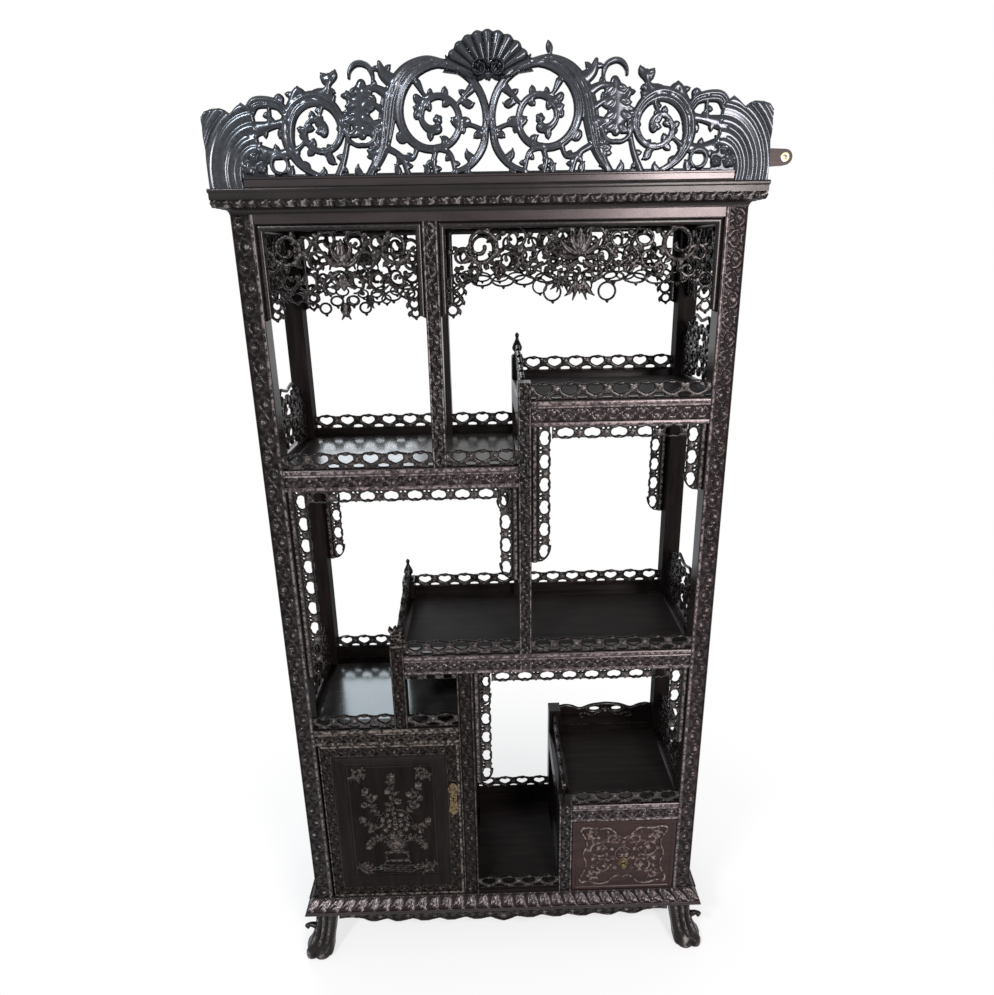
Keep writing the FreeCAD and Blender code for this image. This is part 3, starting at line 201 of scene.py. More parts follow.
def mirrored(path, x):
    # the same path on the other side of an upright line
    path = np.array(path, float)
    path[:, 0] = 2 * x - path[:, 0]
    return path


def carveBoth(canvas, path, rise, flutes=0.0):
    # the path and its mirror image about the upright line at 0
    carveRun(canvas, path, rise, flutes)
    carveRun(canvas, mirrored(path, 0.0), rise, flutes)


def leafFringe(canvas, path, side, count, length, width, rise):
    # leaves that spring from one side of a path and lean forward along it
    path = np.asarray(path, float)
    for share in (np.arange(count) + 0.5) / count:
        spot = share * (len(path) - 1)
        k = min(int(spot), len(path) - 2)
        x, y, w = path[k] + (path[k + 1] - path[k]) * (spot - k)
        dx, dy = path[k + 1][0] - path[k][0], path[k + 1][1] - path[k][1]
        size = math.hypot(dx, dy) + 1e-6
        dx, dy = dx / size, dy / size
        nx, ny = -dy * side, dx * side
        x0, y0 = x + nx * w * 0.3, y + ny * w * 0.3
        x1 = x0 + nx * (length * 0.8 + w * 0.3) + dx * length * 0.55
        y1 = y0 + ny * (length * 0.8 + w * 0.3) + dy * length * 0.55
        carveRun(canvas, leafPath(x0, y0, x1, y1, -side * length * 0.16, width), rise, 1.0)


def repeated(tile, count, length):
    # the tile's columns side by side, stretched to end exactly at the length
    wood = np.hstack([np.tile(tile["wood"][:, :-1], (1, count)), tile["wood"][:, :1]])
    rise = np.hstack([np.tile(tile["rise"][:, :-1], (1, count)), tile["rise"][:, :1]])
    return {"xs": np.linspace(0.0, length, wood.shape[1]), "ys": tile["ys"], "wood": wood, "rise": rise}


# From arrays to closed surfaces. A part is (points, quads, triangles, carve)

def closedPart(points, quads, triangles, carve):
    # faces are turned to look outwards: the volume under them has to come out positive
    points = np.asarray(points, float)
    quads = np.asarray(quads, np.int64).reshape(-1, 4)
    triangles = np.asarray(triangles, np.int64).reshape(-1, 3)
    every = np.vstack([quads[:, :3], quads[:, [0, 2, 3]], triangles])
    a, b, c = (points[every[:, k]] - points.mean(0) for k in range(3))
    if np.einsum("ij,ij->", a, np.cross(b, c)) < 0:
        quads, triangles = quads[:, ::-1], triangles[:, ::-1]
    return points, quads, triangles, np.asarray(carve, float)


def laidOn(origin, along, across, out, warp=None):
    # point = origin + u along + v across + w out; warp changes u and v first
    origin, along, across, out = (np.array(v, float) for v in (origin, along, across, out))

    def place(u, v, w):
        if warp:
            u, v = warp(u, v)
        return origin + u[:, None] * along + v[:, None] * across + w[:, None] * out

    return place


def facingFront(x, y, z):
    # point = (x + u, y - w, z + v): upright, and seen from the front
    return laidOn((x, y, z), toRight, upwards, toFront)


def plainBack(place, depth):
    # a bar's back: the same outline, a depth behind its face
    return lambda u, v: place(u, v, np.full(len(u), -depth))


def fourCorners(grid):
    # the values at the four corners of every cell, in turn round it
    return [grid[:-1, :-1], grid[:-1, 1:], grid[1:, 1:], grid[1:, :-1]]


def piercedSheet(canvas, place, edge, backShare):
    # nodes beside the outline move on to it, so that it runs smoothly; front height = edge + rise,
    # back height the same with a share of the rise, and walls join the two along the outline
    xs, ys, wood, rise = canvas["xs"], canvas["ys"], canvas["wood"], canvas["rise"]
    rows, columns = wood.shape
    inside = wood > 0
    du, dv = np.diff(xs)[None, :], np.diff(ys)[:, None]
    best = np.full(wood.shape, 1e9)
    moveU, moveV = np.zeros(wood.shape), np.zeros(wood.shape)

    def pull(view, distance, sign, alongU):
        closer = distance < best[view]
        best[view] = np.where(closer, distance, best[view])
        moveU[view] = np.where(closer, sign * distance if alongU else 0.0, moveU[view])
        moveV[view] = np.where(closer, 0.0 if alongU else sign * distance, moveV[view])

    for alongU, step in ((True, du), (False, dv)):
        low = (slice(None), slice(0, -1)) if alongU else (slice(0, -1), slice(None))
        high = (slice(None), slice(1, None)) if alongU else (slice(1, None), slice(None))
        crossing = inside[low] != inside[high]
        t = wood[low] / (wood[low] - wood[high] + 1e-12 * ~crossing)
        pull(low, np.where(crossing & (t < 0.5), t * step, 1e9), 1.0, alongU)
        pull(high, np.where(crossing & (t >= 0.5), (1 - t) * step, 1e9), -1.0, alongU)
    on = best < 1e8
    within = inside & ~on
    outside = ~inside & ~on
    gridU = np.broadcast_to(xs, wood.shape) + moveU
    gridV = np.broadcast_to(ys[:, None], wood.shape) + moveV
    index = np.arange(rows * columns).reshape(rows, columns)
    corner, outs, ins = fourCorners(index), fourCorners(outside), fourCorners(within)
    outCount = sum(o.astype(int) for o in outs)
    inCount = sum(i.astype(int) for i in ins)
    middle = sum(fourCorners(wood)) / 4
    whole = (outCount == 0) & ((inCount > 0) | (middle > 0))
    quads = np.stack([c[whole] for c in corner], 1)
    triangles = []
    for k in range(4):
        keep = (outCount == 1) & outs[k] & ins[(k + 2) % 4]
        triangles.append(np.stack([corner[(k + j) % 4][keep] for j in (1, 2, 3)], 1))
    triangles = np.vstack(triangles)
    edges = np.vstack([quads[:, [0, 1]], quads[:, [1, 2]], quads[:, [2, 3]], quads[:, [3, 0]],
                       triangles[:, [0, 1]], triangles[:, [1, 2]], triangles[:, [2, 0]]])
    key = np.sort(edges, 1)
    key = key[:, 0] * (rows * columns) + key[:, 1]
    first, counts = np.unique(key, return_index=True, return_counts=True)[1:]
    rim = edges[first[counts == 1]]
    used = np.unique(np.concatenate([quads.ravel(), triangles.ravel()]))
    number = np.full(rows * columns, -1)
    number[used] = np.arange(len(used))
    quads, triangles, rim = number[quads], number[triangles], number[rim]
    u, v = gridU.ravel()[used], gridV.ravel()[used]
    lift = np.where(on, 0.0, rise).ravel()[used]
    count = len(used)
    points = np.vstack([place(u, v, edge + lift), place(u, v, -edge - lift * backShare)])
    walls = np.stack([rim[:, 1], rim[:, 0], rim[:, 0] + count, rim[:, 1] + count], 1)
    quads = np.vstack([quads, quads[:, ::-1] + count, walls])
    triangles = np.vstack([triangles, triangles[:, ::-1] + count])
    carve = np.tile(lift / max(rise.max(), 1e-6), 2)
    return closedPart(points, quads, triangles, carve)


def reliefBar(xs, ys, heights, place, backPlace, carve=None):
    # a grid of heights over a solid bar: walls run down from its rim to a plain back, which is closed
    # by strips across the bar and a fan at each end
    rows, columns = heights.shape
    gridU, gridV = np.meshgrid(xs, ys)
    front = place(gridU.ravel(), gridV.ravel(), heights.ravel())
    index = np.arange(rows * columns).reshape(rows, columns)
    ring = np.concatenate([index[0, :], index[1:, -1], index[-1, -2::-1], index[-2:0:-1, 0]])
    back = backPlace(gridU.ravel()[ring], gridV.ravel()[ring])
    count = rows * columns
    after = np.roll(np.arange(len(ring)), -1)
    quads = [np.stack(fourCorners(index), -1).reshape(-1, 4),
             np.stack([ring[after], ring, count + np.arange(len(ring)), count + after], 1)]
    low = count + np.arange(columns)
    top = count + (columns - 1) + (rows - 1) + np.arange(columns)[::-1]
    left = count + np.arange(len(ring) - (rows - 2), len(ring))[::-1]
    right = count + columns + np.arange(rows - 2)
    first, last = (1, columns - 2) if columns > 3 else (0, columns - 1)
    quads.append(np.stack([low[first:last], top[first:last], top[first + 1:last + 1],
                           low[first + 1:last + 1]], 1))
    triangles = []
    if columns > 3:
        for apex, chain in ((low[1], np.concatenate([[low[0]], left, [top[0], top[1]]])),
                            (low[-2], np.concatenate([[low[-1]], right, [top[-1], top[-2]]]))):
            fan = np.stack([np.full(len(chain) - 1, apex), chain[:-1], chain[1:]], 1)
            triangles.append(fan if apex == low[1] else fan[:, ::-1])
    triangles = np.vstack(triangles) if triangles else np.zeros((0, 3), int)
    shade = (heights if carve is None else carve).ravel()
    span = max(shade.max() - shade.min(), 1e-6)
    shade = np.concatenate([(shade - shade.min()) / span, np.full(len(ring), 0.4)])
    return closedPart(np.vstack([front, back]), np.vstack(quads), triangles, shade)


def loftRings(rings, carve=None):
    # rings is stations x points x 3: quads between neighbours, and a fan at both ends
    rings = np.asarray(rings, float)
    stations, around = rings.shape[:2]
    index = np.arange(stations * around).reshape(stations, around)
    after = np.roll(index, -1, 1)
    quads = np.stack([index[:-1], after[:-1], after[1:], index[1:]], -1).reshape(-1, 4)
    points = np.vstack([rings.reshape(-1, 3), rings[0].mean(0), rings[-1].mean(0)])
    low, top = stations * around, stations * around + 1
    fans = [np.stack([np.full(around, low), after[0], index[0]], 1),
            np.stack([np.full(around, top), index[-1], after[-1]], 1)]
    shade = np.full(len(points), 0.5) if carve is None else np.concatenate([np.ravel(carve), [0.5, 0.5]])
    return closedPart(points, quads, np.vstack(fans), shade)


def softBlock(x0, x1, y0, y1, z0, z1):
    # a plain block; all its edges are cut back by s
    s = 1.2

    def loop(inset):
        a, b, c, d = x0 + inset, x1 - inset, y0 + inset, y1 - inset
        return np.array([(a + s, c), (b - s, c), (b, c + s), (b, d - s), (b - s, d), (a + s, d),
                         (a, d - s), (a, c + s)])

    rings = [np.column_stack([loop(inset), np.full(8, z)])
             for inset, z in ((s, z0), (0, z0 + s), (0, z1 - s), (s, z1))]
    return loftRings(rings)


def ringsAbout(axis, profile, origin, around):
    # point = origin + radius x (cos(turn) side + sin(turn) other) + height x axis, all three square
    axis = np.array(axis, float)
    side = np.cross(axis, [0.0, 0.0, 1.0] if abs(axis[2]) < 0.9 else [1.0, 0.0, 0.0])
    turn = np.linspace(0, 2 * np.pi, around, endpoint=False)[:, None]
    circle = np.cos(turn) * side + np.sin(turn) * np.cross(axis, side)
    return np.stack([np.array(origin) + radius * circle + height * axis for radius, height in profile])


def turnedPart(profile, origin, axis, around):
    # a profile of (radius, height) carried round an axis
    return loftRings(ringsAbout(axis, profile, origin, around))


def tubePart(path, radii):
    # rings of changing radius set square to a path in space
    path = np.asarray(path, float)
    tangent = np.gradient(path, axis=0)
    tangent /= np.linalg.norm(tangent, axis=1)[:, None]
    side = np.cross(tangent, [0.31, 0.17, 0.93])
    side /= np.linalg.norm(side, axis=1)[:, None]
    other = np.cross(tangent, side)
    turn = np.linspace(0, 2 * np.pi, 10, endpoint=False)
    cosine, sine = np.cos(turn)[None, :, None], np.sin(turn)[None, :, None]
    circle = cosine * side[:, None, :] + sine * other[:, None, :]
    return loftRings(path[:, None, :] + np.asarray(radii)[:, None, None] * circle)


def addObject(name, data):
    # a new object in the scene
    item = bpy.data.objects.new(name, data)
    bpy.context.scene.collection.objects.link(item)
    return item


def finishPiece(name, parts, material, node, body="cabinet", sharp=40.0):
    # all parts in one mesh, in metres; edges that turn more than sharp degrees stay crisp
    offsets = np.cumsum([0] + [len(part[0]) for part in parts])
    points = np.vstack([part[0] for part in parts]) * mm
    quads = np.vstack([part[1] + offset for part, offset in zip(parts, offsets)])
    triangles = np.vstack([part[2] + offset for part, offset in zip(parts, offsets)])
    mesh = bpy.data.meshes.new(name)
    corners = np.concatenate([quads.ravel(), triangles.ravel()]).astype(np.int32)
    starts = np.concatenate([np.arange(len(quads)) * 4, len(quads) * 4 + np.arange(len(triangles)) * 3])
    mesh.vertices.add(len(points))
    mesh.vertices.foreach_set("co", points.astype(np.float32).ravel())
    mesh.loops.add(len(corners))
    mesh.loops.foreach_set("vertex_index", corners)
    mesh.polygons.add(len(starts))
    mesh.polygons.foreach_set("loop_start", starts.astype(np.int32))
    mesh.update(calc_edges=True)
    carve = mesh.attributes.new("carve", "FLOAT", "POINT")
    carve.data.foreach_set("value", np.concatenate([part[3] for part in parts]).astype(np.float32))
    mesh.validate()
    mesh.shade_smooth()
    mesh.set_sharp_from_angle(angle=math.radians(sharp))
    mesh.materials.append(material)
    piece = addObject(name, mesh)
    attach(piece, body)
    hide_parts(node)
    print("made", name, len(quads) * 2 + len(triangles), "triangles")


# Finishes

def addNode(tree, kind, **values):
    # a value goes to the input of that name, or else to the node itself
    node = tree.nodes.new(kind)
    for key, value in values.items():
        if key in node.inputs:
            node.inputs[key].default_value = value
        else:
            setattr(node, key, value)
    return node


def addNoise(tree, place, scale, detail, roughness):
    # noise of the given scale at a place in the object
    noise = addNode(tree, "ShaderNodeTexNoise", Scale=scale, Detail=detail, Roughness=roughness)
    tree.links.new(place, noise.inputs["Vector"])
    return noise.outputs["Fac"]


def addRange(tree, source, low, high, start, end, **kind):
    # the span from low to high becomes the span from start to end
    span = addNode(tree, "ShaderNodeMapRange", **kind)
    for key, value in (("From Min", low), ("From Max", high), ("To Min", start), ("To Max", end)):
        span.inputs[key].default_value = value
    tree.links.new(source, span.inputs["Value"])
    return span.outputs["Result"]


def addRamp(tree, source, low, dark, high, pale):
    # dark up to low, pale from high on, blended between
    ramp = addNode(tree, "ShaderNodeValToRGB")
    for element, position, colour in zip(ramp.color_ramp.elements, (low, high), (dark, pale)):
        element.position = position
        element.color = (*colour, 1)
    tree.links.new(source, ramp.inputs["Fac"])
    return ramp.outputs["Color"]


def addMath(tree, operation, first, second):
    # the product or the larger of two values
    result = addNode(tree, "ShaderNodeMath", operation=operation)
    tree.links.new(first, result.inputs[0])
    tree.links.new(second, result.inputs[1])
    return result.outputs["Value"]


def addMix(tree, share, under, over):
    # the share of the colour over, on the colour under
    mix = addNode(tree, "ShaderNodeMixRGB", Color2=(*over, 1))
    tree.links.new(share, mix.inputs["Fac"])
    tree.links.new(under, mix.inputs["Color1"])
    return mix.outputs["Color"]


def newMaterial(name):
    # a material with its node tree and that tree's shader
    material = bpy.data.materials.new(name)
    material.use_nodes = True
    tree = material.node_tree
    return material, tree, tree.nodes["Principled BSDF"]


def lacqueredWood(name, deep, bright, highlightAndWear, grain, gloss=(0.14, 0.36), bump=0.25, dust=0.0, shine=0.18,
                  tint=(1, 1, 1), ground=None):
    # colour = deep and bright wood mixed by stretched grain, with a pale colour painted in specks where the
    # carving
    # stands high: a painted highlight that also stands for wear, so its ground stays darker. Gloss varies
    # with a cloudy noise, fine pores make the bump, and the reflections take a painted tint. With a ground
    # share the polish fades from the raised carving down to that share in its ground
    material, tree, shader = newMaterial(name)
    link = tree.links.new
    shader.inputs["Specular IOR Level"].default_value = shine
    # the tint colours the wood's reflections: a painted tint that stands in for the colour of the windows'
    # light
    shader.inputs["Specular Tint"].default_value = (*tint, 1)
    place = addNode(tree, "ShaderNodeTexCoord").outputs["Object"]
    mapping = addNode(tree, "ShaderNodeMapping", Scale=grain)
    link(place, mapping.inputs["Vector"])
    stretched = mapping.outputs["Vector"]
    colour = addRamp(tree, addNoise(tree, stretched, 9.0, 6.0, 0.62), 0.36, deep, 0.68, bright)
    carve = addNode(tree, "ShaderNodeAttribute", attribute_name="carve").outputs["Fac"]
    if ground is not None:
        polish = addRange(tree, carve, 0.0, 0.55, shine * ground, shine)
        link(polish, shader.inputs["Specular IOR Level"])
    # the pale colour put on where the carving stands high is a painted highlight that also stands for wear
    highlightAndWearShare = addRange(tree, carve, 0.6, 0.92, 0.0, 1.0)
    specks = addRange(tree, addNoise(tree, place, 130.0, 3.0, 0.6), 0.44, 0.6, 0.0, 1.0)
    colour = addMix(tree, addMath(tree, "MULTIPLY", highlightAndWearShare, specks), colour, highlightAndWear)
    clouds = addNoise(tree, place, 14.0, 5.0, 0.6)
    if dust:  # a film of dust lies on faces that look up
        normal = addNode(tree, "ShaderNodeNewGeometry")
        split = addNode(tree, "ShaderNodeSeparateXYZ")
        link(normal.outputs["Normal"], split.inputs["Vector"])
        film = addMath(tree, "MULTIPLY", addRange(tree, split.outputs["Z"], 0.5, 1.0, 0.0, dust), clouds)
        colour = addMix(tree, film, colour, dustColour)
    link(colour, shader.inputs["Base Color"])
    link(addRange(tree, clouds, 0.0, 1.0, *gloss), shader.inputs["Roughness"])
    pores = addNode(tree, "ShaderNodeBump", Strength=bump, Distance=0.0006)
    link(addNoise(tree, stretched, 60.0, 5.0, 0.6), pores.inputs["Height"])
    link(pores.outputs["Normal"], shader.inputs["Normal"])
    return material


def castBrass(name, colour, tarnish, roughness):
    # brass browned in patches, with fine rubbed lines
    material, tree, shader = newMaterial(name)
    link = tree.links.new
    shader.inputs["Metallic"].default_value = 1.0
    place = addNode(tree, "ShaderNodeTexCoord").outputs["Object"]
    patches = addNoise(tree, place, 160.0, 6.0, 0.7)
    link(addRamp(tree, patches, 0.4, tarnish, 0.62, colour), shader.inputs["Base Color"])
    link(addRange(tree, patches, 0.0, 1.0, roughness, roughness + 0.25), shader.inputs["Roughness"])
    lines = addNode(tree, "ShaderNodeBump", Strength=0.2, Distance=0.0003)
    link(patches, lines.inputs["Height"])
    link(lines.outputs["Normal"], shader.inputs["Normal"])
    return material


grains = {"upright": (7.0, 7.0, 0.8), "across": (0.8, 7.0, 7.0), "depth": (7.0, 0.8, 7.0)}
dustColour = (0.23, 0.21, 0.19)
finishes = {  # deep wood, bright wood, and the pale colour of raised carving: a painted highlight that also stands for wear
    "ebony": ((0.004, 0.0031, 0.003), (0.0105, 0.0078, 0.007), (0.165, 0.148, 0.14)),
    # the next finish is the ebony paler and tinted blue: painted blue light from a window, on the crest and
    # the cupboard top board
    "paintedBlueLight": ((0.0042, 0.0044, 0.005), (0.0105, 0.011, 0.0125), (0.026, 0.028, 0.032)),
    # the next finish is the ebony made darker: painted shade on the door, the cupboard top rails and posts C
    # and D
    "shade": ((0.0036, 0.0028, 0.0026), (0.009, 0.0066, 0.0058), (0.115, 0.1, 0.088)),
    # the next finish is the ebony redder and paler: painted pink light from a window, on the top rails, shelf
    # rails, fascia, base moulding and right front post
    "paintedPinkLight": ((0.006, 0.0042, 0.0042), (0.015, 0.0105, 0.0105), (0.22, 0.18, 0.18)),
    "red": ((0.011, 0.0055, 0.005), (0.026, 0.0125, 0.011), (0.21, 0.165, 0.15)),
}


def rosewood(name, finish, grain, **settings):
    # one of the finishes above, with its grain along one of the three directions
    return lacqueredWood(name, *finishes[finish], grains[grain], **settings)


plainWood = rosewood("rosewoodPlain", "ebony", "upright")
levelWood = rosewood("rosewoodLevel", "ebony", "across")
depthWood = rosewood("rosewoodDepth", "ebony", "depth")
# a lit copy of the ebony: the pink finish, polish and tint paint a pink sheen on the top rails
topWood = rosewood("rosewoodTopRails", "paintedPinkLight", "across", gloss=(0.16, 0.34), bump=0.2, shine=0.34,
                   tint=(1.0, 0.9, 0.92))
# a shaded copy of the ebony: almost without polish, so the rear posts and end rails stay dark as if in shade
rearWood = rosewood("rosewoodRear", "ebony", "upright", gloss=(0.45, 0.62), bump=0.15, shine=0.03)
uprightWood = rosewood("rosewoodUpright", "ebony", "upright", shine=0.22, ground=0.25)
acrossWood = rosewood("rosewoodAcross", "ebony", "across", shine=0.22, ground=0.25)
laceWood = rosewood("rosewoodPierced", "ebony", "across", gloss=(0.14, 0.32), bump=0.15, shine=0.22,
                    ground=0.25)
# the crest's blue finish and blue reflections are painted bluish light on the same ebony
crestWood = rosewood("rosewoodCrest", "paintedBlueLight", "across", gloss=(0.14, 0.28), bump=0.04, shine=0.56,
                     tint=(0.8, 0.88, 1.0), ground=0.22)
# a lit copy of the ebony: the pink finish, polish and tint paint a pink sheen on the crest's fascia
fasciaWood = rosewood("rosewoodFascia", "paintedPinkLight", "across", gloss=(0.14, 0.3), bump=0.1, shine=0.42,
                      tint=(1.0, 0.93, 0.95))
# a lit copy of the ebony: the pink finish, strong polish and pink tint paint a sheen on the rails and the
# base moulding
sheenWood = rosewood("rosewoodSheen", "paintedPinkLight", "across", gloss=(0.16, 0.34), bump=0.2, shine=0.38,
                     tint=(1.0, 0.9, 0.92), ground=0.22)
# a lit copy of the upright ebony for the right front post alone: its pink sheen is painted light from the
# right
litRightPostWood = rosewood("rosewoodSheenPost", "paintedPinkLight", "upright", gloss=(0.16, 0.34), bump=0.2, shine=0.27,
                     tint=(1.0, 0.92, 0.93), ground=0.25)
# a shaded copy of the ebony: darker colour and little polish are painted shade on the door, the cupboard top
# rails and posts C and D
shadeWood = rosewood("rosewoodShade", "shade", "upright", gloss=(0.18, 0.38), shine=0.13,
                     tint=(1.0, 0.96, 0.93), ground=0.25)
redWood = rosewood("redRosewood", "red", "across", gloss=(0.26, 0.44))
boardWood = rosewood("polishedRosewood", "ebony", "across", gloss=(0.12, 0.3), bump=0.1, dust=0.2)
# the cupboard top board: its blue finish, strong polish and blue tint paint a window's reflection
paintedReflectionBoard = rosewood("rosewoodPaintedReflection", "paintedBlueLight", "across", gloss=(0.1, 0.24), bump=0.06, dust=0.16, shine=0.55,
                      tint=(0.84, 0.97, 1.0))
# a shaded copy of the ebony: almost without polish, so the inner boards stay dark as if in shade
shadedBoardWood = rosewood("shadedRosewood", "ebony", "across", gloss=(0.4, 0.6), bump=0.1, dust=0.02, shine=0.05)
brass = castBrass("agedBrass", (0.2, 0.15, 0.078), (0.03, 0.022, 0.014), 0.36)
brightBrass = castBrass("rubbedBrass", (0.72, 0.62, 0.34), (0.35, 0.28, 0.13), 0.22)

nodeFinish = {
    "base_board": levelWood, "crest_lug": redWood, "drawer_box": levelWood,
    "drawer_runners": depthWood, "floor_board": shadedBoardWood, "top_board": shadedBoardWood,
    "left_shelf_board": boardWood, "cupboard_top_board": paintedReflectionBoard, "right_shelf_board": shadedBoardWood,
    "middle_shelf_board": shadedBoardWood, "drawer_top_board": shadedBoardWood, "top_rails": topWood,
    "post_rear_left": rearWood, "post_rear_right": rearWood, "base_end_rails": rearWood,
    "lock_plate": brass, "door_pivot_pins": brass, "lug_eyelet": brightBrass,
}
for nodeName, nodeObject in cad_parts.items():
    wanted = nodeFinish.get(nodeName, plainWood)
    for slot in nodeObject.material_slots:
        slot.material = wanted
print("finishes done")

# Crest: one carved board for each half, drawn in shares of its half width and height

crest = {
    "half": 524.0, "height": 238.0, "foot": 18.0, "cell": 1.4, "middleY": -186.0,
    "edge": 2.2, "rise": 6.6, "heavy": 1.22, "leafFoot": 1.925,
}
crestX = crest["half"] / 2.2
crestZ0 = atZ(1768.0)
spirals = [  # middle x, middle z, (turn, radius, width) stations, flutes
    (0.39, 0.387, [(196, 0.366, 0.05), (90, 0.385, 0.058), (0, 0.296, 0.062), (-90, 0.193, 0.05),
                    (-180, 0.16, 0.046), (-270, 0.165, 0.044), (-360, 0.13, 0.04),
                    (-440, 0.062, 0.066)], 1.0),
    (1.32, 0.32, [(-84, 0.31, 0.036), (-40, 0.262, 0.066), (0, 0.236, 0.095), (90, 0.226, 0.092),
                    (180, 0.178, 0.048), (270, 0.14, 0.042), (360, 0.1, 0.036), (450, 0.08, 0.034),
                    (560, 0.045, 0.052)], 1.0),
    (0.965, 0.7, [(-12, 0.092, 0.022), (40, 0.082, 0.036), (110, 0.074, 0.04), (170, 0.084, 0.036),
                    (214, 0.1, 0.022)], 0.0),
    (0.99, 0.3, [(170, 0.118, 0.028), (270, 0.08, 0.034), (370, 0.118, 0.028)], 0.0),
    (1.64, 0.088, [(-90, 0.062, 0.028), (90, 0.066, 0.028), (240, 0.062, 0.028)], 0.0),
]
sweeps = [
    [(0.024, 0.36, 0.055), (0.05, 0.2, 0.066), (0.15, 0.07, 0.058), (0.3, 0.004, 0.04)],
    [(0.33, 0.768, 0.062), (0.48, 0.79, 0.066), (0.64, 0.718, 0.088), (0.752, 0.545, 0.124),
     (0.796, 0.35, 0.128), (0.84, 0.17, 0.092), (0.945, 0.004, 0.066)],
    [(1.55, 0.44, 0.07), (1.62, 0.51, 0.082), (1.78, 0.52, 0.09), (1.85, 0.42, 0.08)],
]
tendrils = [
    [(0.7, 0.64, 0.08), (0.79, 0.7, 0.06), (0.82, 0.78, 0.024)],
    [(0.76, 0.56, 0.06), (0.86, 0.61, 0.04), (0.94, 0.6, 0.04)],
    [(0.965, 0.64, 0.05), (0.985, 0.52, 0.11), (0.995, 0.4, 0.11), (0.985, 0.29, 0.05)],
    [(0.8, 0.45, 0.04), (0.88, 0.5, 0.034), (0.96, 0.53, 0.05)],
    [(1.0, 0.48, 0.06), (1.06, 0.52, 0.04), (1.08, 0.59, 0.016)],
    [(0.9, 0.29, 0.04), (0.86, 0.31, 0.03), (0.8, 0.33, 0.05)],
    [(1.06, 0.29, 0.03), (1.1, 0.33, 0.03), (1.15, 0.38, 0.04)],
    [(1.3, 0.56, 0.08), (1.23, 0.6, 0.04), (1.205, 0.68, 0.03)],
    [(1.39, 0.52, 0.05), (1.45, 0.6, 0.04), (1.5, 0.52, 0.05), (1.54, 0.43, 0.06)],
    [(0.89, 0.3, 0.03), (0.895, 0.15, 0.034), (0.925, 0.004, 0.03)],
    [(1.09, 0.29, 0.03), (1.13, 0.14, 0.034), (1.19, 0.004, 0.044)],
    [(0.41, 0.2, 0.03), (0.44, 0.1, 0.034), (0.425, 0.004, 0.03)],
    [(0.415, 0.19, 0.03), (0.31, 0.15, 0.03), (0.27, 0.01, 0.026)],
    [(0.8, 0.2, 0.04), (0.69, 0.13, 0.034), (0.64, 0.004, 0.034)],
    [(0.56, 0.21, 0.034), (0.6, 0.12, 0.026), (0.68, 0.13, 0.034)],
    [(0.04, 0.31, 0.03), (0.15, 0.35, 0.026), (0.24, 0.33, 0.034)],
    [(0.13, 0.6, 0.05), (0.17, 0.56, 0.034), (0.235, 0.5, 0.022)],
    [(0.54, 0.64, 0.044), (0.49, 0.56, 0.022), (0.42, 0.56, 0.024)],
    [(1.53, 0.39, 0.06), (1.65, 0.37, 0.044), (1.8, 0.34, 0.08)],
    [(1.52, 0.18, 0.07), (1.64, 0.16, 0.054), (1.8, 0.18, 0.09)],
    [(1.69, 0.54, 0.03), (1.68, 0.45, 0.022), (1.69, 0.37, 0.034)],
    [(1.5, 0.19, 0.034), (1.44, 0.24, 0.022), (1.42, 0.29, 0.026)],
    [(1.18, 0.25, 0.026), (1.22, 0.19, 0.022), (1.29, 0.19, 0.03)],
    [(1.3, 0.54, 0.04), (1.28, 0.47, 0.018), (1.33, 0.4, 0.024)],
]
crestLeaves = [  # root x, z, tip x, z, bend, width: small tongues that break the edges of the scrolls
    (0.56, 0.56, 0.49, 0.52, 0.02, 0.034), (0.25, 0.33, 0.29, 0.4, 0.02, 0.034),
    (0.56, 0.4, 0.5, 0.44, -0.02, 0.034), (0.34, 0.2, 0.38, 0.27, 0.02, 0.034),
    (0.18, 0.52, 0.11, 0.5, 0.02, 0.034), (0.06, 0.28, 0.12, 0.26, 0.01, 0.03),
    (0.12, 0.11, 0.18, 0.18, -0.02, 0.034), (0.78, 0.25, 0.86, 0.22, 0.01, 0.03),
    (0.7, 0.3, 0.64, 0.24, 0.02, 0.034), (1.4, 0.53, 1.45, 0.62, -0.02, 0.06),
    (1.205, 0.67, 1.155, 0.735, 0.01, 0.034), (1.205, 0.67, 1.262, 0.715, -0.01, 0.034),
    (1.25, 0.56, 1.17, 0.56, 0.02, 0.04), (1.56, 0.3, 1.62, 0.28, 0.02, 0.04),
    (1.13, 0.42, 1.06, 0.42, 0.01, 0.03), (1.24, 0.16, 1.2, 0.09, 0.02, 0.034),
    (1.42, 0.06, 1.48, 0.09, 0.01, 0.034), (1.61, 0.52, 1.6, 0.575, 0.01, 0.04),
    (0.5, 0.0, 0.52, 0.07, 0.02, 0.03), (0.72, 0.0, 0.745, 0.08, 0.01, 0.03),
    (1.0, 0.0, 1.03, 0.085, -0.02, 0.03), (1.34, 0.0, 1.3, 0.07, 0.02, 0.03),
    (0.2, 0.0, 0.17, 0.05, 0.01, 0.03), (1.56, 0.0, 1.54, 0.08, -0.01, 0.034),
]


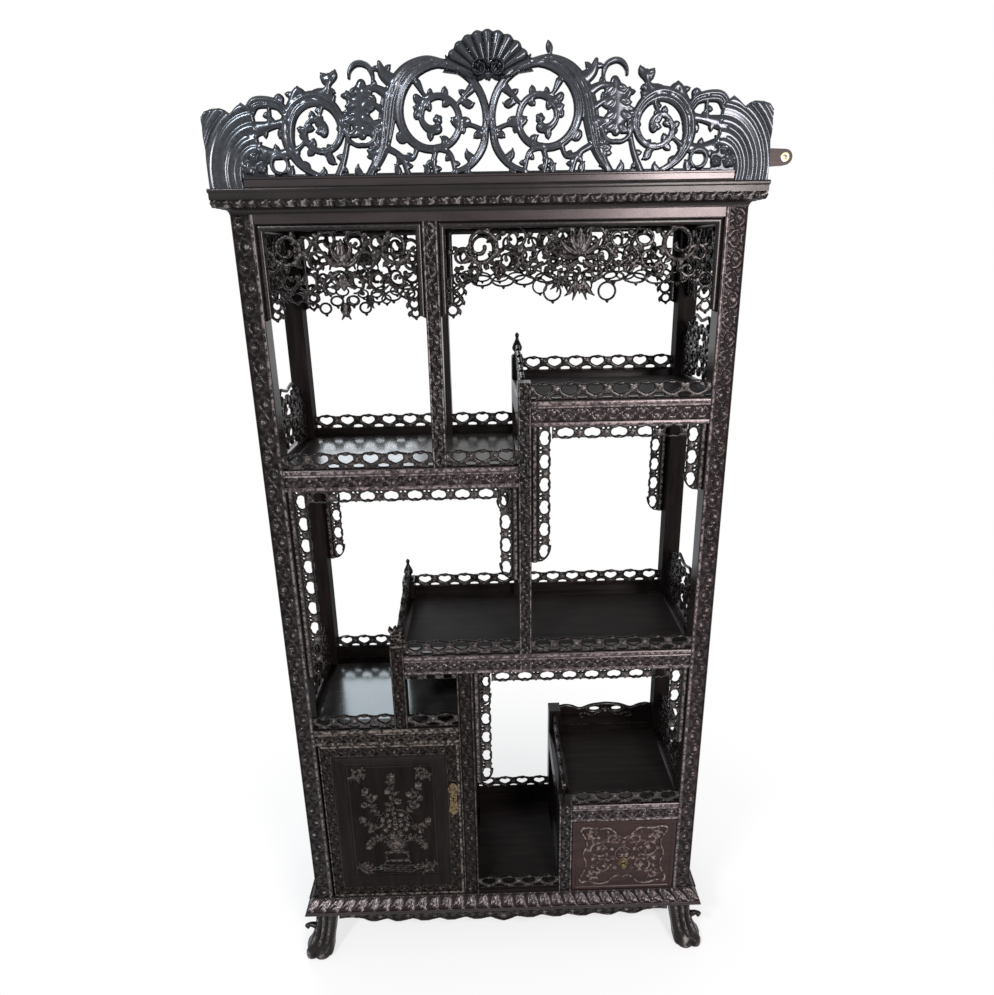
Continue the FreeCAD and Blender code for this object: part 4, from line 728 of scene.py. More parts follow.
def crestCanvas(side):
    # drawn for the right half and mirrored for the left
    canvas = newCanvas(crest["half"], crest["height"] + crest["foot"], crest["cell"], 0.0, -crest["foot"])
    scale = np.array([crestX, crest["height"], crest["height"]])
    rise = crest["rise"]
    for x, z, stations, flutes in spirals:
        path = spiralPath(x, z, stations, 8.0) * scale * (1, 1, crest["heavy"])
        carveRun(canvas, path, rise, flutes, groove=0.5)
        if flutes:  # the broad back stays smooth; leaves spring only from the inner winding
            inner = path[int(len(path) * 0.52):]
            leafFringe(canvas, inner, 1, 4, 11.0, 12.0, rise * 0.85)
            leafFringe(canvas, inner[: len(inner) * 2 // 3], -1, 3, 10.0, 12.0, rise * 0.85)
    for k, sweep in enumerate(sweeps):
        path = smoothPath(sweep, 10) * scale
        carveRun(canvas, path, rise, 1.5 if k == 1 else 1.0, groove=0.55)
        if k == 1:
            leafFringe(canvas, path[34:56], 1, 2, 15.0, 17.0, rise)
    for tendril in tendrils:
        path = smoothPath(tendril, 7) * scale * (1, 1, crest["heavy"] * 1.15)
        carveRun(canvas, path, rise * 0.72, 0.0)
        leafFringe(canvas, path, 1, 1, 9.0, 10.0, rise * 0.65)
        leafFringe(canvas, path[len(path) // 2:], -1, 1, 8.0, 9.0, rise * 0.65)
    figure = smoothPath(tendrils[2], 12) * scale
    for hand in (-1, 1):
        leafFringe(canvas, figure, hand, 4, 12.0, 15.0, rise * 1.05)
    for x0, z0, x1, z1, bend, width in crestLeaves:
        carveRun(canvas, leafPath(x0, z0, x1, z1, bend, width * 1.75) * scale, rise * 0.8, 1.0)
    for x, z, radius, petals in ((1.205, 0.672, 0.046, 4), (1.1, 0.33, 0.04, 5), (0.395, 0.39, 0.04, 5),
                                 (1.08, 0.56, 0.034, 4), (0.7, 0.13, 0.034, 4), (0.44, 0.1, 0.03, 4)):
        carveFlower(canvas, x * crestX, z * crest["height"], radius * crest["height"], petals, rise * 0.8)
    if side > 0:  # only the right half has a bud
        carveRun(canvas, smoothPath([(0.47, 0.79, 0.02), (0.468, 0.83, 0.034), (0.462, 0.868, 0.056),
                                     (0.455, 0.905, 0.02)], 5) * scale, rise * 0.8, 1.0)
    # the end leaf: a solid field of long flutes that rise from its foot and bend over two rosettes
    xs, ys = canvas["xs"][None, :], canvas["ys"][:, None]
    edgeX = np.array([crest["leafFoot"], crest["leafFoot"], 1.745, 1.738, 1.775, 1.79, 1.8]) * crestX
    edgeZ = np.array([-0.08, -0.002, -0.001, 0.11, 0.18, 0.33, 0.47]) * crest["height"]
    topX = np.array([1.8, 1.847, 1.889, 1.931, 1.981, 2.019, 2.057, 2.12, 2.175, 2.2]) * crestX
    topZ = np.array([0.47, 0.5, 0.529, 0.5, 0.454, 0.479, 0.492, 0.487, 0.471, 0.437]) * crest["height"]
    inLeaf = np.minimum(xs - np.interp(ys, edgeZ, edgeX), np.interp(xs, topX, topZ) - ys)
    away = np.hypot(xs - 1.8 * crestX, (ys - 0.01 * crest["height"]) * 0.8)
    lobe = np.abs(np.sin(np.pi * (away - 30) / 24.0)) ** 0.6
    ribs = rise * (0.14 + 0.36 * lobe + 0.5 * np.abs(np.sin(np.pi * away / 14.5)) ** 0.9)
    ribs = np.where(away < 33, rise * 0.22, ribs) * np.clip(inLeaf / 3.0, 0.0, 1.0) ** 0.5
    canvas["wood"] = np.maximum(canvas["wood"], inLeaf)
    canvas["rise"] = np.where(inLeaf > 0, ribs, canvas["rise"])
    for x, z, radius in ((1.885, 0.07, 13.0), (1.78, 0.065, 10.0), (1.845, 0.15, 8.0)):
        carveFlower(canvas, x * crestX, z * crest["height"], radius, 5, rise * 0.95, 0.5)
    for root, tip in (((1.86, 0.3), (1.77, 0.345)), ((1.85, 0.24), (1.765, 0.25)),
                      ((1.79, 0.15), (1.725, 0.19))):
        carveRun(canvas, leafPath(*(root * scale[:2]), *(tip * scale[:2]), 4.0, 11.0), rise * 0.9, 1.0)
    for k in range(2):  # each height becomes the mean of itself and its four neighbours
        old = np.pad(canvas["rise"], 1, mode="edge")
        mean = (old[1:-1, 1:-1] + old[:-2, 1:-1] + old[2:, 1:-1] + old[1:-1, :-2] + old[1:-1, 2:]) / 5
        canvas["rise"] = np.where(canvas["rise"] > 0, mean, canvas["rise"])
    # a strip along the foot ties the scrolls together; below it only the end leaf goes on
    strip = np.minimum(ys + 0.3, 5.0 - ys) + 0 * xs
    canvas["wood"] = np.where(ys < 0, inLeaf, np.maximum(canvas["wood"], strip))
    canvas["rise"] = np.where((strip > 0) & (canvas["rise"] < 1.5), 1.5, canvas["rise"])
    if side < 0:
        canvas["xs"] = -canvas["xs"][::-1]
        canvas["wood"] = canvas["wood"][:, ::-1]
        canvas["rise"] = canvas["rise"][:, ::-1]
    return canvas


crestPlace = facingFront(middleX, crest["middleY"], crestZ0)
for piece, side, node in (("crestLeft", -1, "crest_left"), ("crestRight", 1, "crest_right")):
    finishPiece(piece, [piercedSheet(crestCanvas(side), crestPlace, crest["edge"], 0.5)], crestWood, node)

# Shell between the halves: scalloped ribs that fan from a small knot, with a volute each side

shell = {"half": 84.0, "drop": 78.0, "ribs": 11, "cell": 1.0, "rise": 7.0}


def shellCanvas():
    # rays from the middle of the foot: lobe = |sin| of the turn, which scallops the edge and lifts each
    # rib; the distance is measured in shares of half the width and of the drop
    half, drop, ribs = shell["half"], shell["drop"], shell["ribs"]
    canvas = newCanvas(2 * half + 6, drop + 12, shell["cell"], -half - 3, -9.0)
    xs, ys = canvas["xs"][None, :], canvas["ys"][:, None]
    angle = np.degrees(np.arctan2((ys + 2.0) / drop, xs / half))
    away = np.hypot(xs / half, (ys + 2.0) / drop)
    share = (angle - 12) / 156 * ribs
    lobe = np.abs(np.sin(np.pi * share))
    edge = 0.955 + 0.045 * lobe
    fan = np.minimum((edge - away) * 70, np.minimum(angle - 8, 172 - angle) * away * 1.2)
    fan = np.where(away < 0.25, np.minimum(fan, 8), fan)
    height = shell["rise"] * (0.25 + 0.75 * lobe ** 0.7) * np.clip(away * 1.4, 0.25, 1.0)
    height = height * np.clip((edge - away) * 14, 0.0, 1.0) ** 0.35
    canvas["wood"] = fan
    canvas["rise"] = np.where(fan > 0, height, 0.0)
    lip = smoothPath([(2, 6, 6), (16, -2, 7), (38, 1, 8), (60, 14, 7), (76, 34, 5)], 8)
    carveBoth(canvas, lip, shell["rise"] * 1.1, 1.0)
    for side in (-1, 1):  # the two volutes stand in front of the ribs
        shape = ((-90, 14, 3), (20, 13, 5), (150, 12, 5), (300, 8, 4.4), (460, 3, 5))
        volute = curlPath(side * 15.0, 15.0, 1, 90, -side, shape)
        carveRun(canvas, volute, shell["rise"] * 1.45)
    carveFlower(canvas, 0.0, 2.0, 8.0, 5, shell["rise"] * 1.2)
    return canvas


shellPlace = facingFront(middleX, crest["middleY"], crestZ0 + crest["height"] - shell["drop"])
finishPiece("crestShell", [piercedSheet(shellCanvas(), shellPlace, 2.0, 0.4)], crestWood, "crest_shell")
print("crest done")

# Pierced lace: galleries round the shelves and borders round the bays

lace = {"edge": 2.0, "rise": 3.4, "depth": 12.0, "setback": 5.0, "height": 38.0, "drop": 31.0, "foot": 14.0}
sheetY = yRear - lace["setback"] - lace["depth"] / 2  # middle of a plate, in front of or behind the middle


def windowStrip(pitch, reach, foot, cell, free, windows):
    # a strip with a wavy free edge, pierced by windows of joined circles (x, y, radius). What is left
    # is rounded over: height = rise x root(1 - (1 - wood / 3.4)^2)
    tile = newCanvas(pitch, reach + foot, cell)
    xs, ys = tile["xs"][None, :], tile["ys"][:, None] - foot
    hole = np.full(tile["wood"].shape, -60.0)
    for x, y, radius in windows:
        away = np.mod(xs - x + pitch / 2, pitch) - pitch / 2
        hole = np.maximum(hole, radius - np.hypot(away, ys - y))
    tile["wood"] = np.minimum(np.minimum(free(xs) - ys, -hole), ys + foot + 1.0)
    share = 1 - np.clip(tile["wood"] / 3.4, 0, 1)
    tile["rise"] = lace["rise"] * 0.8 * np.sqrt(np.clip(1 - share ** 2, 0, 1))
    return tile


def plainFoot(tile, foot, moulded):
    # the strip against the frame: a half round where it is a moulding, flat where it is a board
    if not foot:
        return
    ys = tile["ys"][:, None] + 0 * tile["xs"][None, :]
    low = (ys < foot + 1.0)
    if moulded:
        shape = 0.5 + 2.9 * np.sqrt(np.clip(1 - ((ys - foot * 0.52) / (foot * 0.4)) ** 2, 0, 1))
    else:
        shape = np.full(ys.shape, lace["rise"] * 0.35)
    strip = np.minimum(ys + 1.0, foot + 2.5 - ys)
    tile["wood"] = np.where(low, np.maximum(tile["wood"], strip), tile["wood"])
    tile["rise"] = np.where(low, shape, tile["rise"])


def galleryTile(pitch, foot, cells):
    # heart shaped windows under a scalloped top; half a pitch on, a blossom over a flat window
    p, h, rise = pitch, foot, lace["rise"]

    def topEdge(x):
        return 34.2 - 2.4 * np.cos(2 * np.pi * x / p) + 1.1 * np.abs(np.sin(3.5 * np.pi * (x / p + 0.143)))

    heart = [(p / 2 - 9.0, 23.6, 7.6), (p / 2 + 9.0, 23.6, 7.6), (p / 2, 20.0, 8.6), (p / 2 - 4.5, 21.5, 8.2),
             (p / 2 + 4.5, 21.5, 8.2)]
    flat = [(-8.5, 6.4, 3.2), (-4.2, 6.9, 3.8), (0.0, 7.2, 4.2), (4.2, 6.9, 3.8), (8.5, 6.4, 3.2)]
    tile = windowStrip(p, lace["height"], foot, p / cells, topEdge, heart + flat)
    wood = tile["wood"].copy()
    carveFlower(tile, 0.0, h + 22.5, 8.2, 5, rise * 1.1, 0.3, p)
    for side in (-1, 1):
        upper = [(side * 3, h + 31.5, 4), (side * p * 0.18, h + 32.6, 4.4), (side * p * 0.34, h + 34.4, 4)]
        lower = [(side * 6, h + 14.5, 4), (side * p * 0.2, h + 12, 5), (side * p * 0.36, h + 8, 5),
                 (side * p * 0.5, h + 4, 4)]
        carveRun(tile, smoothPath(upper, 5), rise, 1.0, p)
        carveRun(tile, smoothPath(lower, 5), rise, 1.0, p)
    carveFlower(tile, p * 0.5, h + 6.4, 5.4, 5, rise, 0.0, p)
    tile["wood"] = wood
    plainFoot(tile, foot, False)
    return tile


def borderTile(pitch, depth, foot, cells):
    # ys 0 is at the frame: round windows behind an arched free edge, a blossom and two eyes between them
    p, h, rise, k = pitch, foot, lace["rise"], depth / lace["drop"]

    def freeEdge(x):
        arch = 26.2 - 1.8 * np.cos(2 * np.pi * x / p) + 1.3 * np.abs(np.sin(4 * np.pi * x / p))
        return k * (arch + 4.2 * np.exp(-((np.mod(x + p / 2, p) - p / 2) / 2.6) ** 2))

    tile = windowStrip(p, depth, foot, p / cells, freeEdge, [
        (p / 2 - 7.5 * k, 15.2 * k, 8.6 * k), (p / 2 + 7.5 * k, 15.2 * k, 8.6 * k),
        (p / 2, 13.0 * k, 9.0 * k), (-4.8 * k, 6.6 * k, 2.7 * k), (4.8 * k, 6.6 * k, 2.7 * k)])
    wood = tile["wood"].copy()
    carveFlower(tile, 0.0, h + 16.5 * k, 7.6 * k, 5, rise * 1.1, 0.3, p)
    carveRun(tile, leafPath(0.0, h + 22 * k, 0.0, h + 31.0 * k, 0.0, 5.5), rise, 1.0, p)
    for side in (-1, 1):
        outer = [(side * 4, h + 22.5 * k, 4), (side * p * 0.2, h + 25.6 * k, 4.2),
                 (side * p * 0.38, h + 27 * k, 3.6)]
        inner = [(side * 9 * k, h + 12 * k, 4), (side * p * 0.2, h + 5.5 * k, 4.4),
                 (side * p * 0.34, h + 3 * k, 4)]
        carveRun(tile, smoothPath(outer, 5), rise, 1.0, p)
        carveRun(tile, smoothPath(inner, 5), rise * 0.9, 1.0, p)
    tile["wood"] = wood
    plainFoot(tile, foot, True)
    return tile


def laceStrip(tile, pitch, length, origin, along, across, out, warp=None, ending=0.0):
    # the tile repeated along a length; with an ending, a quarter round of 40 mm closes the far end
    canvas = repeated(tile, max(1, round(length / pitch)), length)
    if ending:  # the far end narrows to the moulded strip in a quarter round with its own rim
        xs, ys, rise = canvas["xs"][None, :], canvas["ys"][:, None], lace["rise"]
        share = np.clip((xs - length + 40.0) / 40.0, 0, 1)
        limit = ending + (ys[-1] - ending) * np.sqrt(1 - share ** 2) - ys
        limit = np.minimum(limit, length - xs + 0.3)
        rim = np.minimum(limit, 4.6 - limit)
        tapered = (share > 0) & (ys > ending - 2.0)
        canvas["wood"] = np.where(tapered, np.maximum(np.minimum(canvas["wood"], limit), rim), canvas["wood"])
        rounded = rise * 0.8 * np.sqrt(np.clip(rim / 2.3, 0, 1))
        canvas["rise"] = np.where(tapered & (rim > 0), rounded, canvas["rise"])
    return piercedSheet(canvas, laidOn(origin, along, across, out, warp), lace["edge"], 0.75)


def galleryRun(left, right, shelf, side=-1, foot=0.0):
    # between two posts, at the front (side -1) or at the rear, where a plain foot strip is added
    low, high = bay(left, right)
    return laceStrip(galleryTile(54.0, foot, 34 if side < 0 else 24), 54.0, high - low,
                     (atX(low), side * sheetY, atZ(levels[shelf])), toRight, upwards, (0, side, 0))


def galleryEnd(post, shelf, frontShare, rearShare):
    # over an end rail: its height runs evenly from the front share to the rear share
    def climb(u, v):
        return u, v * (frontShare + (rearShare - frontShare) * u / (2 * insideY))

    origin = (atX(postMiddle(post)), -insideY, atZ(levels[shelf]))
    return laceStrip(galleryTile(52.0, 22.0, 29), 52.0, 2 * insideY, origin, toRear, upwards, toLeft, climb)


def borderSet(left, right, shelf, frontDrops, rearDrops):
    # a strip under the rail and a column down each post
    parts = []
    (low, high), level = bay(left, right), atZ(under(shelf))
    for side, drops in ((-1, frontDrops), (1, rearDrops)):
        y, cells = side * sheetY, 33 if side < 0 else 24
        parts.append(laceStrip(borderTile(53.0, lace["drop"], 0.0, cells), 53.0, high - low - 90.0,
                               (atX(low + 45.0), y, level), toRight, downwards, (0, side, 0)))
        column = borderTile(53.0, lace["drop"], lace["foot"], cells)
        for edge, drop, inward in ((low, drops[0], 1), (high, drops[1], -1)):
            parts.append(laceStrip(column, 53.0, drop, (atX(edge), y, level), downwards, (inward, 0, 0),
                                   (0, side, 0), ending=lace["foot"]))
    return parts


finishPiece("leftShelfGallery", [galleryRun(*span, "left", *rear) for rear in ((), (1, 15.0))
                                 for span in (("first", "A"), ("A", "B"))], laceWood, "left_shelf_gallery")
finishPiece("rightShelfGallery", [
    galleryRun("B", "last", "right"), galleryRun("B", "last", "right", 1, 13.0),
    galleryEnd("B", "right", 0.66, 1.5)], laceWood, "right_shelf_gallery")
finishPiece("middleShelfGallery", [galleryRun(*span, "middle", *rear) for rear in ((), (1, 22.0))
                                   for span in (("C", "B"), ("B", "last"))]
            + [galleryEnd("C", "middle", 0.66, 1.6)], laceWood, "middle_shelf_gallery")
finishPiece("cupboardTopGallery", [
    galleryRun("first", "C", "cupboard"), galleryRun("C", "D", "cupboard"),
    galleryRun("first", "C", "cupboard", 1, 36.0)], laceWood, "cupboard_top_gallery")
finishPiece("floorGallery", [galleryRun("D", "E", "floor"), galleryRun("D", "E", "floor", 1, 47.0)],
            laceWood, "floor_gallery")


def archedBoard(left, right, shelf):
    # the board behind the drawer top: an arched outline with scrolls, two windows and a flower
    low, high = bay(left, right)
    length, height = high - low, 22.0 + lace["height"] * 1.4
    canvas = newCanvas(length, height + 5, 1.5)
    xs, ys = canvas["xs"][None, :], canvas["ys"][:, None]
    shareX = np.array([0, 0.05, 0.14, 0.22, 0.34, 0.5, 0.66, 0.78, 0.86, 0.95, 1.0])
    shareZ = np.array([0.9, 0.97, 0.92, 0.76, 0.95, 1.02, 0.95, 0.76, 0.92, 0.97, 0.9])
    even = np.linspace(0, 1, 60)
    eased = np.convolve(np.pad(np.interp(even, shareX, shareZ), 2, "edge"), [.15, .2, .3, .2, .15], "valid")
    top = np.interp(canvas["xs"] / length, even, eased)
    field = np.minimum(top[None, :] * height - ys, ys + 1.0)
    for window in (0.38, 0.62):
        away = 1 - np.hypot((xs - window * length) / 15.0, (ys - height * 0.74) / 6.5)
        field = np.minimum(field, -away * 7.0)
    rise = lace["rise"]
    canvas["rise"] = np.where(field < 5.0, rise * 0.9 * np.sqrt(np.clip(field / 5.0, 0, 1)), 0.4)
    curl = np.array([(0.46, 0.62, 4), (0.36, 0.46, 5), (0.25, 0.55, 5), (0.21, 0.42, 4), (0.26, 0.36, 4)])
    scroll = smoothPath(curl * (length, height, 1), 8)
    for side, path in ((1, scroll), (-1, mirrored(scroll, length / 2))):
        carveRun(canvas, path, rise, 1.0)
        leafFringe(canvas, path, side, 5, 8, 6, rise * 0.8)
    carveFlower(canvas, length / 2, height * 0.66, 9, 5, rise)
    canvas["wood"] = field
    return piercedSheet(canvas, facingFront(atX(low), sheetY, atZ(levels[shelf])), lace["edge"], 0.3)


finishPiece("drawerTopGallery", [
    galleryRun("E", "last", "drawer"), archedBoard("E", "last", "drawer"),
    galleryEnd("E", "drawer", 0.66, 1.15)], laceWood, "drawer_top_gallery")
for piece, node, left, right, shelf, frontDrops, rearDrops in (
        ("middleLeftBorder", "middle_left_border", "first", "B", "left", (466, 222), (300, 180)),
        ("middleRightBorder", "middle_right_border", "B", "last", "right", (315, 150), (315, 315)),
        ("lowerRightBorder", "lower_right_border", "D", "last", "middle", (322, 215), (322, 190))):
    finishPiece(piece, borderSet(left, right, shelf, frontDrops, rearDrops), laceWood, node)
low, high = bay("C", "D")
niche = laceStrip(borderTile(41.0, 18.0, 0.0, 33), 41.0, high - low,
                  (atX(low), -sheetY, atZ(under("middle"))), toRight, downwards, toFront)
finishPiece("nicheBorder", [niche], laceWood, "niche_border")
print("galleries and borders done")

# Aprons of the upper bays: crowded leaf scrolls whose lower edge hangs in loops and drops

apronWork = {
    "cell": 1.5, "rearCell": 2.3, "edge": 2.0, "rise": 4.4, "seed": 11, "stroke": 6.8, "leaf": 8.0,
    "frame": 14.0,
}


def leafScroll(canvas, x, y, radius, start, hand, width):
    # a C scroll, broad on its back and winding in to a bud, with a row of leaves on its back
    shape = ((-50, 1.3, width * 0.5), (40, 1.06, width), (150, 0.92, width), (250, 0.66, width * 0.75),
             (310, 0.4, width * 1.15))
    path = curlPath(x, y, radius, start, hand, shape, 14.0)
    carveRun(canvas, path, apronWork["rise"], 1.0)
    back = path[: int(len(path) * 0.62)]
    leafFringe(canvas, back, -hand, 3, radius * 0.55, apronWork["leaf"], apronWork["rise"] * 0.85)


def hangingLoop(canvas, x, y, across, down, width=4.0):
    # an oval ring with a small leaf under it
    turn = np.linspace(0, 2 * np.pi, 25)
    ring = np.stack([x + across * np.cos(turn), y + down * np.sin(turn), np.full(25, width)], 1)
    carveRun(canvas, ring, apronWork["rise"] * 0.8)
    carveRun(canvas, leafPath(x, y + down, x + 2, y + down + 6, 0, 5), apronWork["rise"] * 0.7, 1.0)


def apronCanvas(cell, width, height, rows, great, loops, drops, leaves):
    # rows: (height from the top, spacing, radius); great: the large C scrolls; loops: ovals along the
    # lower edge; drops: the ends; leaves: the fan in the middle. All of it is mirrored about the middle;
    # the strip at the end is the largest of distances to its edges, with a half round across it
    canvas = newCanvas(width, height, cell)
    rise, stroke, middle = apronWork["rise"], apronWork["stroke"], width / 2
    chance = np.random.default_rng(apronWork["seed"])
    for row, (down, spacing, radius) in enumerate(rows):
        for k in range(int(middle / spacing + 0.5)):
            away = spacing * (k + (0.62 if row % 2 == 0 else 1.02)) + chance.uniform(-3, 3)
            y, r = down + chance.uniform(-4, 4), radius * chance.uniform(0.85, 1.15)
            start, hand = chance.uniform(0, 360), 1 if (k + row) % 2 else -1
            if away > middle - r * 0.6 or any(math.hypot(away - gx, y - gy) < gr + 5 for gx, gy, gr in great):
                continue
            for side in (-1, 1):
                x, begin = middle + side * away, start if side > 0 else 180 - start
                leafScroll(canvas, x, y, r, begin, hand * side, stroke)
                x = middle + side * (away + spacing * 0.5)
                carveFlower(canvas, x, y - radius * 0.55, 6.6, 5, rise, start)
    shape = ((-75, 1.06, 7), (60, 1, 10), (190, 0.88, 8), (320, 0.56, 6), (430, 0.24, 9))
    for x, y, radius in great:
        for side in (-1, 1):
            path = curlPath(middle + side * x, y, radius, 90, side, shape, 10)
            carveRun(canvas, path, rise * 1.15, 2.0)
            leafFringe(canvas, path[: len(path) // 2], -side, 6, 12, 9, rise)
            leafFringe(canvas, path[: len(path) // 2], side, 3, 8, 7, rise)
    for x, y, tipX, tipY, size in leaves:
        for side in (-1, 1):
            leaf = leafPath(middle + side * x, y, middle + side * tipX, tipY, side * 4, size)
            carveRun(canvas, leaf, rise * 1.1, 1.0)
    carveFlower(canvas, middle, leaves[0][1], 13.0, 6, rise * 1.15)
    for x, y, across, down in loops:
        for side in ((-1, 1) if x else (1,)):
            hangingLoop(canvas, middle + side * x, y, across, down)
    for x, y, radius in drops:
        for side in (-1, 1):
            place = middle + side * (middle - x)
            hangingLoop(canvas, place, y, radius, radius, 5.0)
            root, tip = place - side * radius, place - side * (radius + 4)
            carveRun(canvas, leafPath(root, y - 3, tip, y + radius, side * 2, 7), rise, 1.0)
    low = max(y + radius for x, y, radius in drops)
    # a plain moulded strip frames it: along the top, mitred, and down both sides to the last drop
    xs, ys, wide = canvas["xs"][None, :], canvas["ys"][:, None], apronWork["frame"]
    beside = np.minimum(xs, width - xs)
    strip = np.maximum(np.minimum(wide - beside, low + 3.0 - ys - 0.5 * beside), wide - ys)
    across = np.minimum(beside, ys)
    shape = 0.6 + 2.9 * np.sqrt(np.clip(1 - ((across - wide * 0.52) / (wide * 0.4)) ** 2, 0, 1))
    canvas["wood"] = np.maximum(canvas["wood"], strip)
    canvas["rise"] = np.where(strip > 0, shape, canvas["rise"])
    return canvas


leftApron = (
    322.0, 186.0, [(32, 46, 17), (72, 45, 18), (110, 42, 15)], [(106, 48, 27)],
    [(40, 160, 11, 10), (16, 146, 12, 9), (66, 140, 15, 10), (96, 138, 15, 9), (126, 134, 14, 9),
     (0, 163, 9, 9)],
    [(24, 134, 11), (23, 154, 9.5), (21, 172, 8.5)],
    [(0, 70, 0, 30, 12), (3, 74, 20, 36, 11), (5, 80, 36, 56, 11), (5, 88, 34, 96, 10), (2, 150, 9, 182, 9),
     (0, 96, 0, 126, 12), (3, 96, 16, 122, 9)])
rightApron = (
    560.0, 186.0, [(32, 48, 18), (70, 47, 18), (94, 60, 12)], [(196, 46, 31)],
    [(24, 106, 20, 9), (68, 108, 20, 9), (112, 112, 20, 9), (154, 113, 21, 10), (196, 112, 20, 10),
     (232, 108, 15, 10), (55, 136, 17, 17)],
    [(28, 116, 14), (27, 143, 12.5), (24, 168, 10.5)],
    [(0, 58, 0, 16, 13), (4, 60, 20, 20, 12), (8, 64, 40, 36, 12), (8, 70, 44, 62, 11), (6, 76, 34, 88, 11),
     (10, 104, 14, 152, 10), (14, 120, 30, 144, 9), (10, 118, 0, 140, 9)])
for piece, shape, left, node in (("upperLeftApron", leftApron, "first", "upper_left_apron"),
                                 ("upperRightApron", rightApron, "A", "upper_right_apron")):
    sheets = []
    for side, cell in ((-1, apronWork["cell"]), (1, apronWork["rearCell"])):
        place = laidOn((atX(sum(posts[left])), side * sheetY, atZ(levels["opening"])),
                       toRight, downwards, (0, side, 0))
        sheets.append(piercedSheet(apronCanvas(cell, *shape), place, apronWork["edge"], 0.7))
    finishPiece(piece, sheets, laceWood, node)
print("aprons done")

# Carved bars: posts and rails with a band of leaves between plain beads

band = {"cell": 1.85, "floor": -3.2, "rise": 3.9, "face": -0.7}


def vineTile(period, width):
    # a stem that winds from side to side, a blossom in every bend and curled leaves about it
    cell, rise = band["cell"], band["rise"]
    tile = newCanvas(period, width, period / round(period / cell))
    p, w = period, width
    x = np.linspace(-p * 0.25, p * 1.25, 40)
    stem = np.stack([x, w / 2 + w * 0.27 * np.sin(2 * np.pi * x / p), np.full(40, 3.2)], 1)
    carveRun(tile, stem, rise * 0.75, 0.0, p)
    for centre, side in ((0.25, 1), (0.75, -1)):
        def spot(share, away):
            return (centre + share) * p, w / 2 - side * w * away

        carveFlower(tile, *spot(0.0, 0.16), min(7.2, w * 0.24), 5, rise, centre, p)
        for reach in (-1, 1):
            curl = [(*spot(reach * share, away), swell) for share, away, swell in
                    ((0.2, -0.06, 3), (0.17, 0.22, 7.5), (0.08, 0.4, 6), (0.01, 0.44, 2))]
            carveRun(tile, smoothPath(curl, 5), rise * 0.85, 1.0, p)
            leaf = leafPath(*spot(reach * 4 / p, -0.24), *spot(reach * 0.15, -0.43), reach * side * 2.0, 6.5)
            carveRun(tile, leaf, rise * 0.8, 1.0, p)
        carveRun(tile, leafPath(*spot(0.0, -0.3), *spot(0.0, -0.48), 0.0, 6), rise * 0.7, 1.0, p)
    return tile


def sampleTile(tile, u, v):
    # bilinear reading of the tile's carving at any u along and v across
    xs, ys, rise = tile["xs"], tile["ys"], tile["rise"]
    a = np.mod(u, xs[-1]) / (xs[1] - xs[0])
    b = np.clip(v / (ys[1] - ys[0]), 0, len(ys) - 1.001)
    i, j = np.minimum(a.astype(int), len(xs) - 2), b.astype(int)
    a, b = a - i, b - j
    return ((rise[j, i] * (1 - a) + rise[j, i + 1] * a) * (1 - b)
            + (rise[j + 1, i] * (1 - a) + rise[j + 1, i + 1] * a) * b)


def bandHeights(xs, ys, low, high, beads, tile):
    # a plain face with eased edges; between low and high the carving stands in a sunk ground; a bead
    # is a half round of its own radius: height = radius x root(1 - (distance / radius)^2)
    gridU, gridV = np.meshgrid(xs, ys)
    heights = np.full(gridU.shape, band["face"])
    if tile is not None:
        carving = band["floor"] + sampleTile(tile, gridU, (gridV - low) * tile["ys"][-1] / (high - low))
        heights = np.where((gridV > low) & (gridV < high), carving, heights)
    for centre, radius in beads:
        share = np.clip(np.abs(gridV - centre) / radius, 0, 1)
        heights = np.where(share < 1, np.maximum(heights, -1.6 + 1.8 * np.sqrt(1 - share ** 2)), heights)
    rim = np.minimum(gridV - ys[0], ys[-1] - gridV)
    return heights - 0.9 * np.clip(1 - rim / 1.5, 0, 1)


def gridAlong(length, cell):
    # evenly from 0 to the length, about one cell apart
    return np.linspace(0.0, length, max(2, round(length / cell) + 1))


def bandAcross(width, beads, cell):
    # even spacing across, with rows added where a bead turns over
    ys = set(np.round(np.linspace(0.0, width, max(4, round(width / cell) + 1)), 2))
    for centre, radius in beads:
        ys |= {round(centre + radius * s, 2) for s in (-1.0, -0.85, -0.5, 0.0, 0.5, 0.85, 1.0)}
    ys |= {0.8, round(width - 0.8, 2)}
    ys = np.array(sorted(y for y in ys if 0 <= y <= width))
    return ys[np.concatenate([[True], np.diff(ys) > 0.15])]


def carvedBar(length, width, origin, along, across, out, low, high, beads, period, warp=None):
    # a bar with a vine between low and high across its face, or a plain one where they are equal
    cell, tile = band["cell"], None
    xs = gridAlong(length, length)
    if high > low:
        tile = vineTile(length / max(1, round(length / period)), high - low)
        xs = gridAlong(length, cell)
    ys = bandAcross(width, beads, cell)
    place = laidOn(origin, along, across, out, warp)
    heights = bandHeights(xs, ys, low, high, beads, tile)
    return reliefBar(xs, ys, heights, place, plainBack(place, barDepth))


def spread(z):
    # how far the outer side of a corner post has spread at a height above the base: a quarter circle
    share = np.clip(1 - z / 58.0, 0, 1)
    return 21.0 * (1 - np.sqrt(np.clip(1 - share ** 2, 0, 1)))


def cornerPost(side):
    # drawn upwards; the outer part of the face spreads at the foot
    inner = middleX + side * (frameWidth / 2 - postSide)
    return carvedBar(levels["top"], postSide, (inner, yFront, atZ(0)), upwards, (side, 0, 0), toFront,
                     9.5, 41.0, [(4.6, 3.6)], 78.0, lambda u, v: (u, v * (postSide + spread(u)) / postSide))


# the right post takes the lit copy, whose pink sheen is painted light
for side, word, wood in ((-1, "Left", uprightWood), (1, "Right", litRightPostWood)):
    finishPiece("frontPost" + word, [cornerPost(side)], wood, "post_front_" + word.lower())


